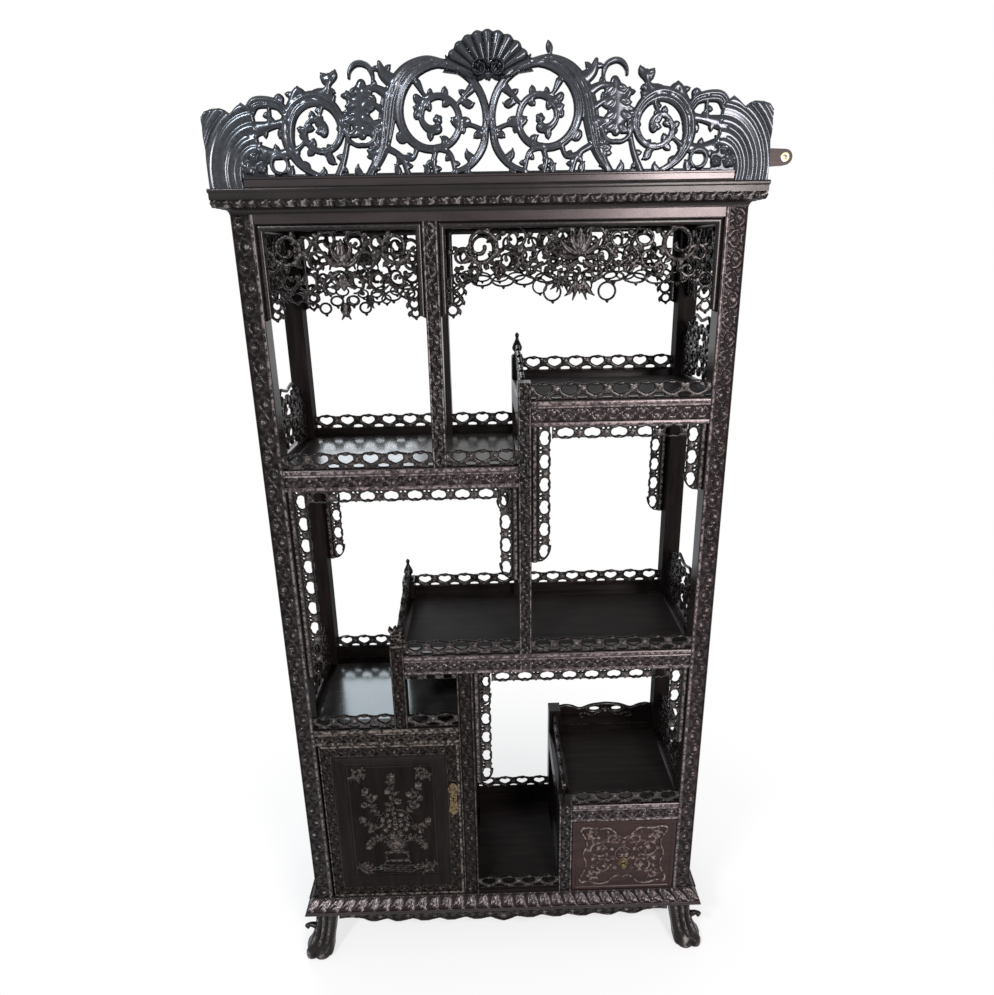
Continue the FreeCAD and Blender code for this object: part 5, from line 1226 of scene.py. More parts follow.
def innerPost(name, z0, z1, depthSide=-1):
    # carved between two beads at the front, plain between them at the rear
    at, width = posts[name]
    low, high = (5.4, width - 5.4) if depthSide < 0 else (0, 0)
    return carvedBar(z1 - z0, width, (atX(at), depthSide * yRear, atZ(z0)), upwards, toRight,
                     (0, depthSide, 0), low, high, [(2.6, 1.8), (width - 2.6, 1.8)], 70.0)


finialProfile = [  # radius, height
    (0.1, -1), (12.6, -1), (13, 2), (12.6, 5.5), (9, 7), (7.4, 9), (7.0, 11), (9.6, 13.5), (12.2, 18),
    (12.6, 22), (10.8, 28), (7.4, 35), (4.6, 41), (3.7, 46), (4.6, 49), (5.4, 51.5), (4.8, 54.5), (2.8, 57),
    (1.0, 58.6)]


def postFinial(name, level):
    # a turned finial in the middle of a rear post's top
    return turnedPart(finialProfile, (atX(postMiddle(name)), yRear - postSide / 2, atZ(level)), upwards, 24)


def leafKnot(name, level):
    # a pierced knot of curled leaves on the cut end of a front post: four hooks, five leaves and a foot
    width = posts[name][1]
    canvas = newCanvas(width + 5.0, 55.0, 1.0, -width / 2 - 2.5)
    rise = 4.2
    for x, z, radius, start, hand in ((6, 15, 9, 200, 1), (-6, 21, 8, -20, -1), (5, 32, 7, 200, 1),
                                      (-4, 39, 6, -20, -1)):
        path = curlPath(x, z, radius, start, hand, ((0, 1, 4.6), (150, 1, 6.0), (330, 0.45, 5.4)), 14)
        carveRun(canvas, path, rise, 1.0)
    for leaf in ((8, 35, 16, 44), (-8, 41, -14, 52), (0, 42, 1, 54), (13, 14, 18, 26), (-12, 16, -18, 27)):
        carveRun(canvas, leafPath(*leaf, 1.5, 8.0), rise, 1.0)
    carveRun(canvas, [(-width / 2 + 3, 3, 8), (width / 2 - 3, 3, 8)], rise * 0.8)
    return piercedSheet(canvas, facingFront(atX(postMiddle(name)), yFront + 11.0, atZ(level)), 5.0, 0.8)


middleFoot = under("middle")
finishPiece("innerPostA", [innerPost("A", levels["left"], levels["opening"]),
                           innerPost("A", levels["left"], levels["opening"], 1)], uprightWood, "divider_a")
finishPiece("innerPostB", [innerPost("B", middleFoot, 1371), innerPost("B", levels["middle"], 1385, 1),
                           postFinial("B", 1385)], uprightWood, "divider_b")
finishPiece("innerPostC", [innerPost("C", levels["cupboard"], 752), leafKnot("C", 752),
                           innerPost("C", levels["cupboard"], 782, 1), postFinial("C", 782)],
            shadeWood, "divider_c")
finishPiece("innerPostD", [innerPost("D", 0, middleFoot), innerPost("D", 0, middleFoot, 1)],
            shadeWood, "divider_d")
finishPiece("innerPostE", [innerPost("E", 0, levels["drawer"]), innerPost("E", 0, 352, 1)],
            uprightWood, "divider_e")


def railSet(left, right, shelf):
    # a carved front rail, a plain moulded rear rail, and an end rail behind each of the two posts
    low, high = bay(left, right)
    height, x0, z0 = railHeights[shelf], atX(low), atZ(under(shelf))
    beads = [(5.2, 4.6), (height - 14.0, 2.0), (height - 5.8, 5.2)]
    parts = [carvedBar(high - low, height, (x0, y, z0), toRight, upwards, (0, side, 0),
                       start, end, beads, 68.0)
             for y, side, start, end in ((yFront, -1, 10.6, height - 16.4), (yRear, 1, 0, 0))]
    for edge, width in ((x0 - posts[left][1], posts[left][1]), (atX(high), posts[right][1])):
        points, quads, triangles, carve = softBlock(edge, edge + width, -insideY, insideY, z0, z0 + height)
        parts.append((points, quads, triangles, carve * 0.0))  # plain on the ends; carve 0 drops their polish to the ground share, a dull look that stands in for shade
    return parts


for piece, node, left, right, shelf, wood in (
        ("leftShelfRails", "left_shelf_rails", "first", "B", "left", sheenWood),
        ("rightShelfRails", "right_shelf_rails", "B", "last", "right", sheenWood),
        ("middleShelfRails", "middle_shelf_rails", "C", "last", "middle", sheenWood),
        ("cupboardTopRails", "cupboard_top_rails", "first", "D", "cupboard", shadeWood),
        ("drawerTopRails", "drawer_top_rails", "E", "last", "drawer", sheenWood)):
    finishPiece(piece, railSet(left, right, shelf), wood, node)
print("posts and rails done")

# Cornice and base moulding: a profile carried along the front and back along both ends, mitred

def leafTile(period, width, rise):
    # upright leaves side by side, each with a midrib, and a small bead between two tips
    tile = newCanvas(period, width, period / round(period / 1.2))
    for place in (0.0, 0.5):
        for root, tip, top, bend, swell, share in ((0.06, 0.2, 0.98, 2.0, 0.26, 1.0),
                                                   (0.42, 0.3, 0.8, -1.5, 0.17, 0.8)):
            foot, end = period * (place + root), period * (place + tip)
            leaf = leafPath(foot, 0.5, end, width * top, bend, period * swell)
            carveRun(tile, leaf, rise * share, 1.0, period)
        carveFlower(tile, period * (place + 0.02), width * 0.72, period * 0.09, 4, rise * 0.9, 0.0, period)
    return tile


cornice = {  # profile as reach and height; the leaves stand between low and high along it, from its ground
    "profile": np.array([
        (0, 0), (0.8, 4), (3.2, 7.6), (8.5, 10.8), (15, 12), (22.4, 12), (23.2, 12.8), (25.6, 20), (26.4, 28),
        (26.4, 36), (27.2, 36.6), (28, 38.4), (28, 42.6), (27.2, 44.6), (25.5, 45)]),
    "level": atZ(levels["top"]), "tile": leafTile(46.0, 21.0, 3.0), "low": 20.5, "high": 41.5, "inside": 44.0,
    "outwards": 1, "ground": -1.6,
}
baseRun = {
    "profile": np.array([
        (0, 0), (2.5, -1.8), (9, -7.5), (17, -14), (23.6, -20), (26.4, -24), (26.8, -26), (28, -27.6),
        (28, -30.6), (27, -32), (25, -32)]),
    "level": atZ(0), "tile": leafTile(64.0, 28.0, 3.6), "low": 3.0, "high": 33.0, "inside": 43.0,
    "outwards": -1, "ground": -1.8,
}


def profileAt(profile, v):
    # reach, height and outward direction at a length v along the profile
    steps = np.hypot(*np.diff(profile, axis=0).T)
    along = np.concatenate([[0], np.cumsum(steps)])
    slope = np.gradient(profile, along, axis=0)
    slope /= np.hypot(*slope.T)[:, None]
    reach, height = (np.interp(v, along, profile[:, k]) for k in range(2))
    return reach, height, np.interp(v, along, slope[:, 1]), -np.interp(v, along, slope[:, 0])


def mitredRun(moulding, half, origin, along, out, mitres):
    # x along = share of the half length plus the reach of the profile at that height
    profile, tile, low, high = (moulding[key] for key in ("profile", "tile", "low", "high"))
    level, inside, sign = (moulding[key] for key in ("level", "inside", "outwards"))
    steps = np.hypot(*np.diff(profile, axis=0).T)
    total = steps.sum()
    corners = np.concatenate([[0], np.cumsum(steps)])
    ys = np.unique(np.round(np.concatenate([np.linspace(0, total, round(total / 1.7) + 1), corners]), 2))
    ys = ys[np.concatenate([[True], np.diff(ys) > 0.2])]
    xs = gridAlong(2 * half, 2.4)
    gridU, gridV = np.meshgrid(xs, ys)
    carving = moulding["ground"] + sampleTile(tile, gridU, (gridV - low) * tile["ys"][-1] / (high - low))
    heights = np.where((gridV > low) & (gridV < high), carving, 0.0)
    origin, along, out, up = (np.array(v, float) for v in (origin, along, out, upwards))

    def lay(u, v, w):
        reach, height, outN, upN = profileAt(profile, v)
        reach, height = reach + sign * outN * w, height + sign * upN * w
        grow = np.where(u > half, mitres[1], mitres[0]) * reach
        x = (u - half) * (half + grow) / half
        return origin + x[:, None] * along + reach[:, None] * out + (level + height)[:, None] * up

    def layBack(u, v):
        height = np.interp(v, [0, total], [profile[0, 1], profile[-1, 1]])
        x = (u - half) * (half - np.where(u > half, mitres[1], mitres[0]) * inside) / half
        return origin + x[:, None] * along - inside * out + (level + height)[:, None] * up

    return reliefBar(xs, ys, heights, lay, layBack)


def mouldingRuns(moulding):
    # the front run is mitred at both ends, the two runs along the sides at the front alone
    front = mitredRun(moulding, frameWidth / 2, (middleX, yFront, 0), toRight, toFront, (1, 1))
    return [front] + [mitredRun(moulding, yRear, (x, 0, 0), toFront, out, (0, 1))
                      for x, out in ((atX(frameWidth), toRight), (atX(0), toLeft))]


rearStrip = softBlock(atX(0), atX(frameWidth), insideY, yRear, footTop, atZ(0))
finishPiece("corniceMoulding", mouldingRuns(cornice), acrossWood, "cornice")
finishPiece("baseMoulding", mouldingRuns(baseRun) + [rearStrip], sheenWood, "base_moulding")

fascia = {  # outline as reach and height
    "profile": [(0, 0), (2.2, 0.6), (2.8, 2.4), (2, 3.6), (2, 13.4), (3.4, 14.6), (3.6, 16.4), (2.4, 18)],
    "face": -196.0, "foot": 1750.0, "height": 18.0,
}
rings = []
for x in (middleX - crest["leafFoot"] * crestX, middleX + crest["leafFoot"] * crestX):
    outline = [(x, fascia["face"] - reach, atZ(fascia["foot"]) + z) for reach, z in fascia["profile"]]
    rings.append(np.array(outline + [(x, yFront, atZ(fascia["foot"]) + z) for z in (fascia["height"], 0.0)]))
finishPiece("crestFascia", [loftRings(rings)], fasciaWood, "crest_rail", sharp=30.0)
print("mouldings done")

# Pierced plates of the open ends: an apron above, borders under the rails, guards on them

def guardCanvas():
    # a shouldered plate: solid band along its outline and foot, scrolls and flowers between
    length, height = 2 * insideY, 160.0
    canvas = newCanvas(length, height + 4, 2.0)
    xs, ys = canvas["xs"], canvas["ys"]
    shareX = np.array([0, .04, .08, .14, .2, .25, .3, .4, .5, .6, .7, .75, .8, .86, .92, .96, 1])
    shareZ = np.array([.60, .74, .85, .86, .79, .86, .99, .95, .91, .95, .99, .86, .79, .86, .85, .74, .60])
    top = np.interp(xs / length, shareX, shareZ)
    top = np.convolve(np.pad(top, 4, "edge"), np.ones(9) / 9, "valid") * height
    body = np.minimum(top[None, :] - ys[:, None], 60.0)
    rise = lace["rise"]
    curls = ((38, 38, 25, 200, -1), (92, 48, 27, 20, 1), (40, 92, 22, 120, 1), (92, 106, 24, 300, -1))
    shape = ((0, 1, 6), (150, 0.92, 7.5), (290, 0.6, 6), (420, 0.28, 7.5))
    for side in (0, 1):
        for x, y, radius, start, hand in curls:
            path = curlPath(x, y, radius, start, hand, shape)
            path = mirrored(path, length / 2) if side else path
            turn = hand if side else -hand
            carveRun(canvas, path, rise, 1.0)
            leafFringe(canvas, path, turn, 8, radius * 0.4, 9, rise * 0.85)
            leafFringe(canvas, path[:len(path) // 2], -turn, 3, radius * 0.3, 8, rise * 0.85)
    for y, radius in ((28, 11), (76, 13), (124, 12)):
        carveFlower(canvas, length / 2, y, radius, 6, rise)
    for x, y in ((66, 72), (18, 66), (66, 16), (20, 14)):
        for place in (x, length - x):
            carveFlower(canvas, place, y, 9, 5, rise)
    canvas["wood"] = np.minimum(canvas["wood"] + 0.8, body)
    rim = np.minimum(6.5 - body, body)
    foot = np.minimum(8.0 - ys[:, None], ys[:, None] + 1.0) + 0 * xs[None, :]
    ends = 6.0 - np.minimum(xs, length - xs) + 0 * ys[:, None]
    for bar in (rim, foot, ends):
        bar = np.minimum(bar, body)
        canvas["wood"] = np.maximum(canvas["wood"], bar)
        canvas["rise"] = np.maximum(canvas["rise"], rise * 0.8 * np.sqrt(np.clip(bar / 3.2, 0, 1)))
    return canvas


guard = guardCanvas()
endApron = apronCanvas(
    apronWork["rearCell"], 2 * insideY, 172.0, [(32, 46, 17), (68, 44, 17), (92, 42, 13)], [(84, 48, 25)],
    [(18, 116, 16, 10), (52, 122, 16, 10), (88, 118, 16, 10), (0, 138, 10, 10)],
    [(25, 128, 12), (23, 150, 10)], [(0, 66, 0, 28, 12), (4, 70, 24, 34, 11), (6, 76, 36, 60, 10)])


def endPlates(side, guards, borders):
    # in the plane of an end's posts: an apron at the top, guards on the rails and borders under them
    def plate(canvas, level, across):
        place = laidOn((middleX + side * (frameWidth - postSide) / 2, -insideY, atZ(level)),
                       toRear, across, (side, 0, 0))
        return piercedSheet(canvas, place, lace["edge"], 0.8)

    strip = repeated(borderTile(52.0, lace["drop"], 0.0, 29), 5, 2 * insideY)
    parts = [plate(endApron, levels["opening"], downwards)]
    parts += [plate(guard, levels[shelf], upwards) for shelf in guards]
    return parts + [plate(strip, under(shelf), downwards) for shelf in borders]


finishPiece("leftEndFrets", endPlates(-1, ("left", "cupboard"), ("left",)), laceWood, "left_end_frets")
finishPiece("rightEndFrets", endPlates(1, ("right", "middle", "drawer"), ("right", "middle")),
            laceWood, "right_end_frets")

# Skirts under the moulding: a scalloped lower edge with drops, scrolls along it

skirtShares = np.array([
    (0, 1.22), (0.04, 1.08), (0.08, 0.86), (0.14, 1), (0.18, 1.02), (0.23, 0.78), (0.3, 1), (0.34, 1.02),
    (0.39, 0.8), (0.46, 1), (0.5, 1.02), (0.55, 0.78), (0.62, 0.98), (0.66, 1), (0.71, 0.74), (0.77, 0.94),
    (0.81, 0.94), (0.86, 0.66), (0.93, 0.56), (1, 0.62)])


def skirtPart(half, origin, along, out):
    # depth = the shares above x 42 mm, eased along; its lower 5 mm are a half round
    canvas = newCanvas(2 * half, 54.0, 2.0, -half, 0.0)
    xs, ys = canvas["xs"], canvas["ys"]
    depth = np.interp(np.abs(xs) / half, skirtShares[:, 0], skirtShares[:, 1]) * 42.0
    depth = np.convolve(np.pad(depth, 2, "edge"), np.ones(5) / 5, "valid")
    body = depth[None, :] - ys[:, None]
    rise = 3.2
    curl = np.array([(8, 0.62, 4), (20, 0.42, 6), (30, 0.62, 6), (24, 0.8, 4), (19, 0.68, 3)])
    count = max(2, round(half / 74.0))
    for k in range(count):
        x = half * (k + 0.5) / count
        low = np.interp(x, xs, depth)
        for side in (-1, 1):
            place = side * x
            carveFlower(canvas, place, low * 0.6, 8.5, 5, rise)
            for reach in (-1, 1):
                path = smoothPath(curl * (reach, low, 1) + (place, 0, 0), 5)
                carveRun(canvas, path, rise * 0.9, 1.0)
                leafFringe(canvas, path, reach, 3, 8, 6, rise * 0.7)
    carveFlower(canvas, 0.0, 30.0, 12.0, 6, rise)
    rounded = rise * 0.7 * np.sqrt(np.clip(1 - (body / 2.5 - 1) ** 2, 0, 1))
    edgeRun = np.where((body > 0) & (body < 5.0), rounded, 0.0)
    canvas["rise"] = np.maximum(canvas["rise"], edgeRun) * (body > 0)
    canvas["wood"] = body
    return piercedSheet(canvas, laidOn(origin, along, downwards, out), 2.6, 0.0)


skirtReach = 10.0  # in front of the posts
finishPiece("baseSkirts", [
    skirtPart(442.0, (middleX, yFront - skirtReach, footTop), toRight, toFront),
    skirtPart(116.0, (atX(frameWidth + skirtReach), 0, footTop), toRear, toRight),
    skirtPart(116.0, (atX(-skirtReach), 0, footTop), toRear, toLeft)],
    acrossWood, "base_skirts")

# Feet: rings drawn out along the diagonal, ribbed on the shin, split into toes at the ground

footStations = np.array([  # share of the height, half width, outward share of the spread
    (0.0, 29.0, 0.86), (0.03, 34.0, 0.9), (0.08, 37.0, 0.92), (0.16, 37.0, 0.88), (0.27, 31.5, 0.62),
    (0.42, 28.5, 0.36), (0.62, 27.5, 0.16), (0.82, 29.5, 0.03), (0.93, 30.0, -0.08), (1.0, 30.0, -0.16)])


def clawFoot(sideX, sideY):
    # radius = half width x (rounded square) x (1 + ribs that follow the leg, deep on the outer side)
    share = np.concatenate([np.linspace(0, 0.3, 16), np.linspace(0.33, 1.0, 26)])
    half = np.interp(share, footStations[:, 0], footStations[:, 1])
    reach = np.interp(share, footStations[:, 0], footStations[:, 2]) * 27.0
    turn = np.linspace(0, 2 * np.pi, 64, endpoint=False)[None, :]
    square = 1 / (np.abs(np.cos(turn)) ** 3.2 + np.abs(np.sin(turn)) ** 3.2) ** (1 / 3.2)
    outward = np.arctan2(sideY, sideX)
    facing = np.clip(np.cos(turn - outward) * 0.75 + 0.45, 0, 1)
    s = share[:, None]
    shin = np.clip((s - 0.22) / 0.12, 0, 1) * np.clip((0.95 - s) / 0.08, 0, 1)
    toes = np.clip((0.2 - s) / 0.06, 0, 1)
    angle = turn - outward
    ribs = 0.11 * shin * np.cos(11 * angle) + 0.22 * toes * (np.abs(np.cos(3 * angle)) ** 0.7 - 0.62)
    knuckle = 0.07 * np.exp(-((s - 0.15) / 0.03) ** 2) * np.cos(6 * angle)
    radius = half[:, None] * square * (1 + facing * (ribs + knuckle))
    radius = np.minimum(radius, 38.0 * np.minimum(square, 1.2))
    kneeX, kneeY = (frameWidth - postSide) / 2, yRear - postSide / 2
    cx = middleX + sideX * (kneeX + reach[:, None])
    cy = sideY * (kneeY + reach[:, None])
    height = np.broadcast_to(s * footTop, radius.shape)
    rings = np.stack([cx + radius * np.cos(turn), cy + radius * np.sin(turn), height], -1)
    carve = np.clip(0.5 + (ribs + knuckle) * facing * 4, 0, 1)
    parts = [loftRings(rings, carve)]
    # the small spur that curls out from the outer side of the knee
    t = np.linspace(0, 1, 15)
    path = np.stack([middleX + sideX * (kneeX + 14.0 + 52.0 * t - 9.0 * t ** 3),
                     sideY * (kneeY + 12.0 + 12.0 * t),
                     58.0 + 30.0 * np.sin(t * 1.8) - 18.0 * np.clip(t - 0.75, 0, 1)], 1)
    parts.append(tubePart(path, 9.0 * (1 - t) + 3.6 + 4.2 * np.exp(-((t - 1) / 0.16) ** 2)))
    return parts


finishPiece("clawFeet", [part for x in (-1, 1) for y in (-1, 1) for part in clawFoot(x, y)],
            uprightWood, "feet")
print("ends, skirts and feet done")

# Door: carved frame with mitred corners, sunk moulding, and a panel with a flowering vase

door = {
    "x": atX(45.5), "z": atZ(1.5), "width": 350.0, "height": 481.0, "face": yFront + 2.0, "thick": 22.0,
    "stile": 36.0, "moulding": 28.0, "sink": 5.0, "edge": 11.0, "ground": -4.0, "beadBase": -1.9,
    "vine": (6.6, 30.2), "beads": ((4.0, 2.2), (33.0, 2.4), (60.0, 2.2)), "innerBead": -5.6,
}
doorInner = door["stile"] + door["moulding"]  # from the outer edge to the panel


def doorSide(start, along, across, length):
    # one side of the frame: v runs from the outer edge inwards, u shrinks towards the mitres
    ys = bandAcross(doorInner, door["beads"], band["cell"])
    xs = gridAlong(length, 2.4)
    gridU, gridV = np.meshgrid(xs, ys)
    tile = vineTile(length / max(1, round(length / 70.0)), 23.0)
    low, high = door["vine"]
    carving = np.minimum(door["ground"] + sampleTile(tile, gridU, (gridV - low) * 23.0 / (high - low)), 0.0)
    heights = np.where((gridV > low) & (gridV < high), carving, band["face"])
    slope = np.clip((gridV - door["stile"]) / door["moulding"], 0, 1)
    cove = -door["sink"] * (slope + 0.22 * np.sin(np.pi * slope))
    heights = np.where(gridV > door["stile"], cove, heights)
    for (centre, radius), base in zip(door["beads"], (door["beadBase"], door["beadBase"], door["innerBead"])):
        share = np.clip(np.abs(gridV - centre) / radius, 0, 1)
        heights = np.where(share < 1, np.maximum(heights, base + 1.9 * np.sqrt(1 - share ** 2)), heights)
    along, across = np.array(along, float), np.array(across, float)
    corner = np.array([door["x"], door["face"], door["z"]])

    def spot(u, v):
        return start + (v + u * (length - 2 * v) / length)[:, None] * along + v[:, None] * across

    def lay(u, v, w):
        x, z = spot(u, v).T
        return corner + np.stack([x, -w, z], 1)

    def layBack(u, v):
        x, z = spot(u, v).T
        return corner + np.stack([np.maximum(x, door["edge"]), np.full(len(u), door["thick"]), z], 1)

    # the hinge edge is rounded: drop = radius - root(radius^2 - (radius - x)^2)
    x = spot(gridU.ravel(), gridV.ravel())[:, 0].reshape(gridU.shape)
    inset = np.clip(door["edge"] - x, 0, None)
    drop = door["edge"] - np.sqrt(np.clip(door["edge"] ** 2 - inset ** 2, 0, None))
    highlightAndWearShare = np.clip((heights - door["ground"] + 0.4) / 4.6, 0, 1)
    highlightAndWearShare = np.where(gridV > 31.0, 0.25, highlightAndWearShare)  # the sunk moulding and its beads get little of the pale colour: painted highlight and wear
    return reliefBar(xs, ys, heights - drop, lay, layBack, highlightAndWearShare)


w, h = door["width"], door["height"]
finishPiece("doorFrame", [
    doorSide(np.array(start), along, across, length) for start, along, across, length in (
        ((0.0, 0.0), (0, 1), (1, 0), h), ((w, 0.0), (0, 1), (-1, 0), h),
        ((0.0, 0.0), (1, 0), (0, 1), w), ((0.0, h), (1, 0), (0, -1), w))],
    shadeWood, "door_frame", "door")


def carveDome(canvas, x, y, rx, ry, rise, ribs):
    # height = rise x root(1 - r^2) of an oval, with upright ribs
    gx = (canvas["xs"][None, :] - x) / rx
    gy = (canvas["ys"][:, None] - y) / ry
    height = rise * np.sqrt(np.clip(1 - gx ** 2 - gy ** 2, 0, 1))
    height = height * (0.72 + 0.28 * np.abs(np.cos(np.pi * ribs / 2 * np.arcsin(np.clip(gx, -1, 1)))))
    canvas["rise"] = np.maximum(canvas["rise"], height)


def flowerSpray(canvas, stem, leaves, flowers, rise):
    # a stem with leaves on both sides, and blossoms of two rows of petals
    path = smoothPath(stem, 8)
    carveRun(canvas, path, rise * 0.7)
    leafFringe(canvas, path, 1, leaves, 15, 9, rise * 0.85)
    leafFringe(canvas, path, -1, leaves, 14, 8.5, rise * 0.85)
    for x, y, radius in flowers:
        carveFlower(canvas, x, y, radius, 6, rise, 0.4)
        carveFlower(canvas, x, y, radius * 0.55, 5, rise * 1.15, 0.1)


def panelCanvas():
    # a vase on a stand with a round bush of blossoms, sprays about it and strokes of ground below
    width, height = door["width"] - 2 * doorInner, door["height"] - 2 * doorInner
    canvas = newCanvas(width, height, 1.6)
    rise, m = 5.2, width / 2 + 3
    for y, low, high in ((20, 34, 178), (27, 48, 190), (34, 62, 176), (14, 70, 160)):
        stroke = [(low, y, 3), (m - 30, y + 2.5, 4.2), (m + 30, y - 2, 4.2), (high, y + 1, 3)]
        carveRun(canvas, smoothPath(stroke, 8), rise * 0.7)
    for side in (-1, 1):
        leg = np.array([(34, 42, 6), (27, 56, 6), (30, 66, 6), (22, 74, 5)]) * (side, 1, 1) + (m, 0, 0)
        handle = curlPath(m + side * 30, 118, 1, 90, side, ((-110, 12, 4), (60, 9, 4.6), (200, 4, 5)))
        carveRun(canvas, smoothPath(leg, 5), rise * 0.85, 1.0)
        carveRun(canvas, handle, rise * 0.85)
    for y, half, size in ((50, 30, 6), (78, 30, 7), (85, 16, 6), (126, 15, 7), (133, 20, 6)):
        carveRun(canvas, [(m - half, y, size), (m + half, y, size)], rise * 0.9)
    carveDome(canvas, m, 105, 28, 21, rise * 1.05, 9)
    turn = np.radians(np.linspace(200, -20, 24))
    arch = np.stack([m + 46 * np.cos(turn), 172 + 44 * np.sin(turn), np.full(24, 4.0)], 1)
    carveRun(canvas, arch, rise * 0.8, 1.0)
    chance = np.random.default_rng(5)
    for ring, count in ((0, 1), (17, 6), (34, 11)):
        for k in range(count):
            angle = 2 * np.pi * (k + 0.3) / count + ring
            radius, twist = 8.4 + chance.uniform(-1, 1), chance.uniform(0, 1)
            x, y = m + ring * math.cos(angle), 172 + ring * math.sin(angle) * 0.92
            carveFlower(canvas, x, y, radius, 5, rise, twist)
    for leaves, stem, flowers in (
            (7, [(-4, 206, 4.4), (-10, 232, 4), (4, 262, 3.6), (-6, 292, 3), (-2, 312, 2.4)],
             [(-2, 318, 12), (-14, 272, 10), (12, 240, 10)]),
            (6, [(30, 204, 4), (48, 226, 3.6), (50, 258, 3.2), (66, 284, 2.6)],
             [(66, 290, 11), (40, 262, 10), (68, 250, 10), (60, 226, 8)]),
            (6, [(-34, 198, 4), (-52, 218, 3.6), (-56, 250, 3.2), (-70, 270, 2.6)],
             [(-70, 276, 11), (-46, 256, 9), (-76, 232, 10)]),
            (4, [(-40, 160, 3.6), (-62, 166, 3.2), (-80, 184, 2.6)], [(-84, 188, 10), (-64, 150, 9)]),
            (4, [(40, 160, 3.6), (64, 160, 3.2), (84, 172, 2.6)], [(86, 178, 10), (66, 144, 9)]),
            (5, [(-24, 130, 3.4), (-54, 124, 3), (-70, 104, 2.6)], [(-72, 96, 10)]),
            (5, [(24, 130, 3.4), (54, 122, 3), (72, 100, 2.6)], [(74, 92, 10)])):
        flowerSpray(canvas, np.array(stem) + (m, 0, 0), leaves, np.array(flowers) + (m, 0, 0), rise)
    for sx, sy in ((0, 0), (1, 0), (0, 1), (1, 1)):  # leaf scrolls in the corners
        for path in (smoothPath([(10, 44, 3), (12, 26, 6), (24, 12, 6), (44, 10, 3)], 6),
                     smoothPath([(16, 34, 3), (22, 28, 5), (28, 32, 5), (24, 38, 3)], 5),
                     smoothPath([(34, 16, 3), (32, 26, 5), (40, 28, 4)], 5)):
            path = path * (1.15, 1.15, 1.3)
            path[:, 0] = width - path[:, 0] if sx else path[:, 0]
            path[:, 1] = height - path[:, 1] if sy else path[:, 1]
            carveRun(canvas, path, rise * 0.9, 1.0)
            leafFringe(canvas, path, 1, 3, 10, 8, rise * 0.8)
            leafFringe(canvas, path, -1, 2, 8, 7, rise * 0.8)
    xs, ys = canvas["xs"][None, :], canvas["ys"][:, None]
    rim = np.minimum(np.minimum(xs, width - xs), np.minimum(ys, height - ys))
    line = np.clip(1 - np.abs(rim - 4.0) / 1.8, 0, 1)
    canvas["rise"] = np.maximum(canvas["rise"], 1.6 * np.sqrt(line))
    return canvas


panel = panelCanvas()
panelPlace = facingFront(door["x"] + doorInner, door["face"] + door["sink"], door["z"] + doorInner)
# its carve values, 0.28 x the root of the rise, set a faint painted highlight on the panel's carving
doorPanel = reliefBar(panel["xs"], panel["ys"], panel["rise"] * 0.9 - 0.6, panelPlace,
                      plainBack(panelPlace, 10.0), 0.28 * np.sqrt(panel["rise"]))
finishPiece("doorPanel", [doorPanel], shadeWood, "door_panel", "door")


def plateCanvas():
    # waisted brass plate with pointed ends, a keyhole and an engraved line round its edge
    width, height = 26.0, 98.0
    canvas = newCanvas(width, height, 0.65, -width / 2, -height / 2)
    xs, ys = canvas["xs"][None, :], canvas["ys"][:, None]
    t = np.abs(ys) / (height / 2)
    half = width * (0.36 + 0.14 * np.clip(t / 0.72, 0, 1) ** 2)
    half = np.where(t > 0.72, half * np.clip((1 - t) / 0.28, 0, 1) ** 0.55, half)
    body = half - np.abs(xs)
    hole = np.minimum(np.hypot(xs, ys - 2) - 2.4, np.maximum(np.abs(xs) - 1.1, np.abs(ys + 2) - 5))
    canvas["wood"] = np.minimum(body, hole)
    engraved = np.clip(1 - np.abs(body - 2.2) / 0.6, 0, 1)
    canvas["rise"] = 0.5 * np.clip(canvas["wood"] / 0.8, 0, 1) - 0.22 * engraved
    for y in (-26, 26):
        canvas["rise"] += 0.35 * np.clip(1 - np.abs(np.hypot(xs, ys - y) - 3.6) / 0.8, 0, 1)
    return canvas


platePlace = facingFront(door["x"] + w - door["stile"] / 2, door["face"] - 1.0, door["z"] + h * 0.65)
finishPiece("lockPlate", [piercedSheet(plateCanvas(), platePlace, 0.5, 0.0)],
            brass, "lock_plate", "door", 25.0)
print("door done")

# Drawer front: a raised bracket line round a medallion, scrolls and blossoms

drawer = {"x": atX(684.0), "z": atZ(1.5), "width": 270.5, "height": 226.0, "thick": 20.0}


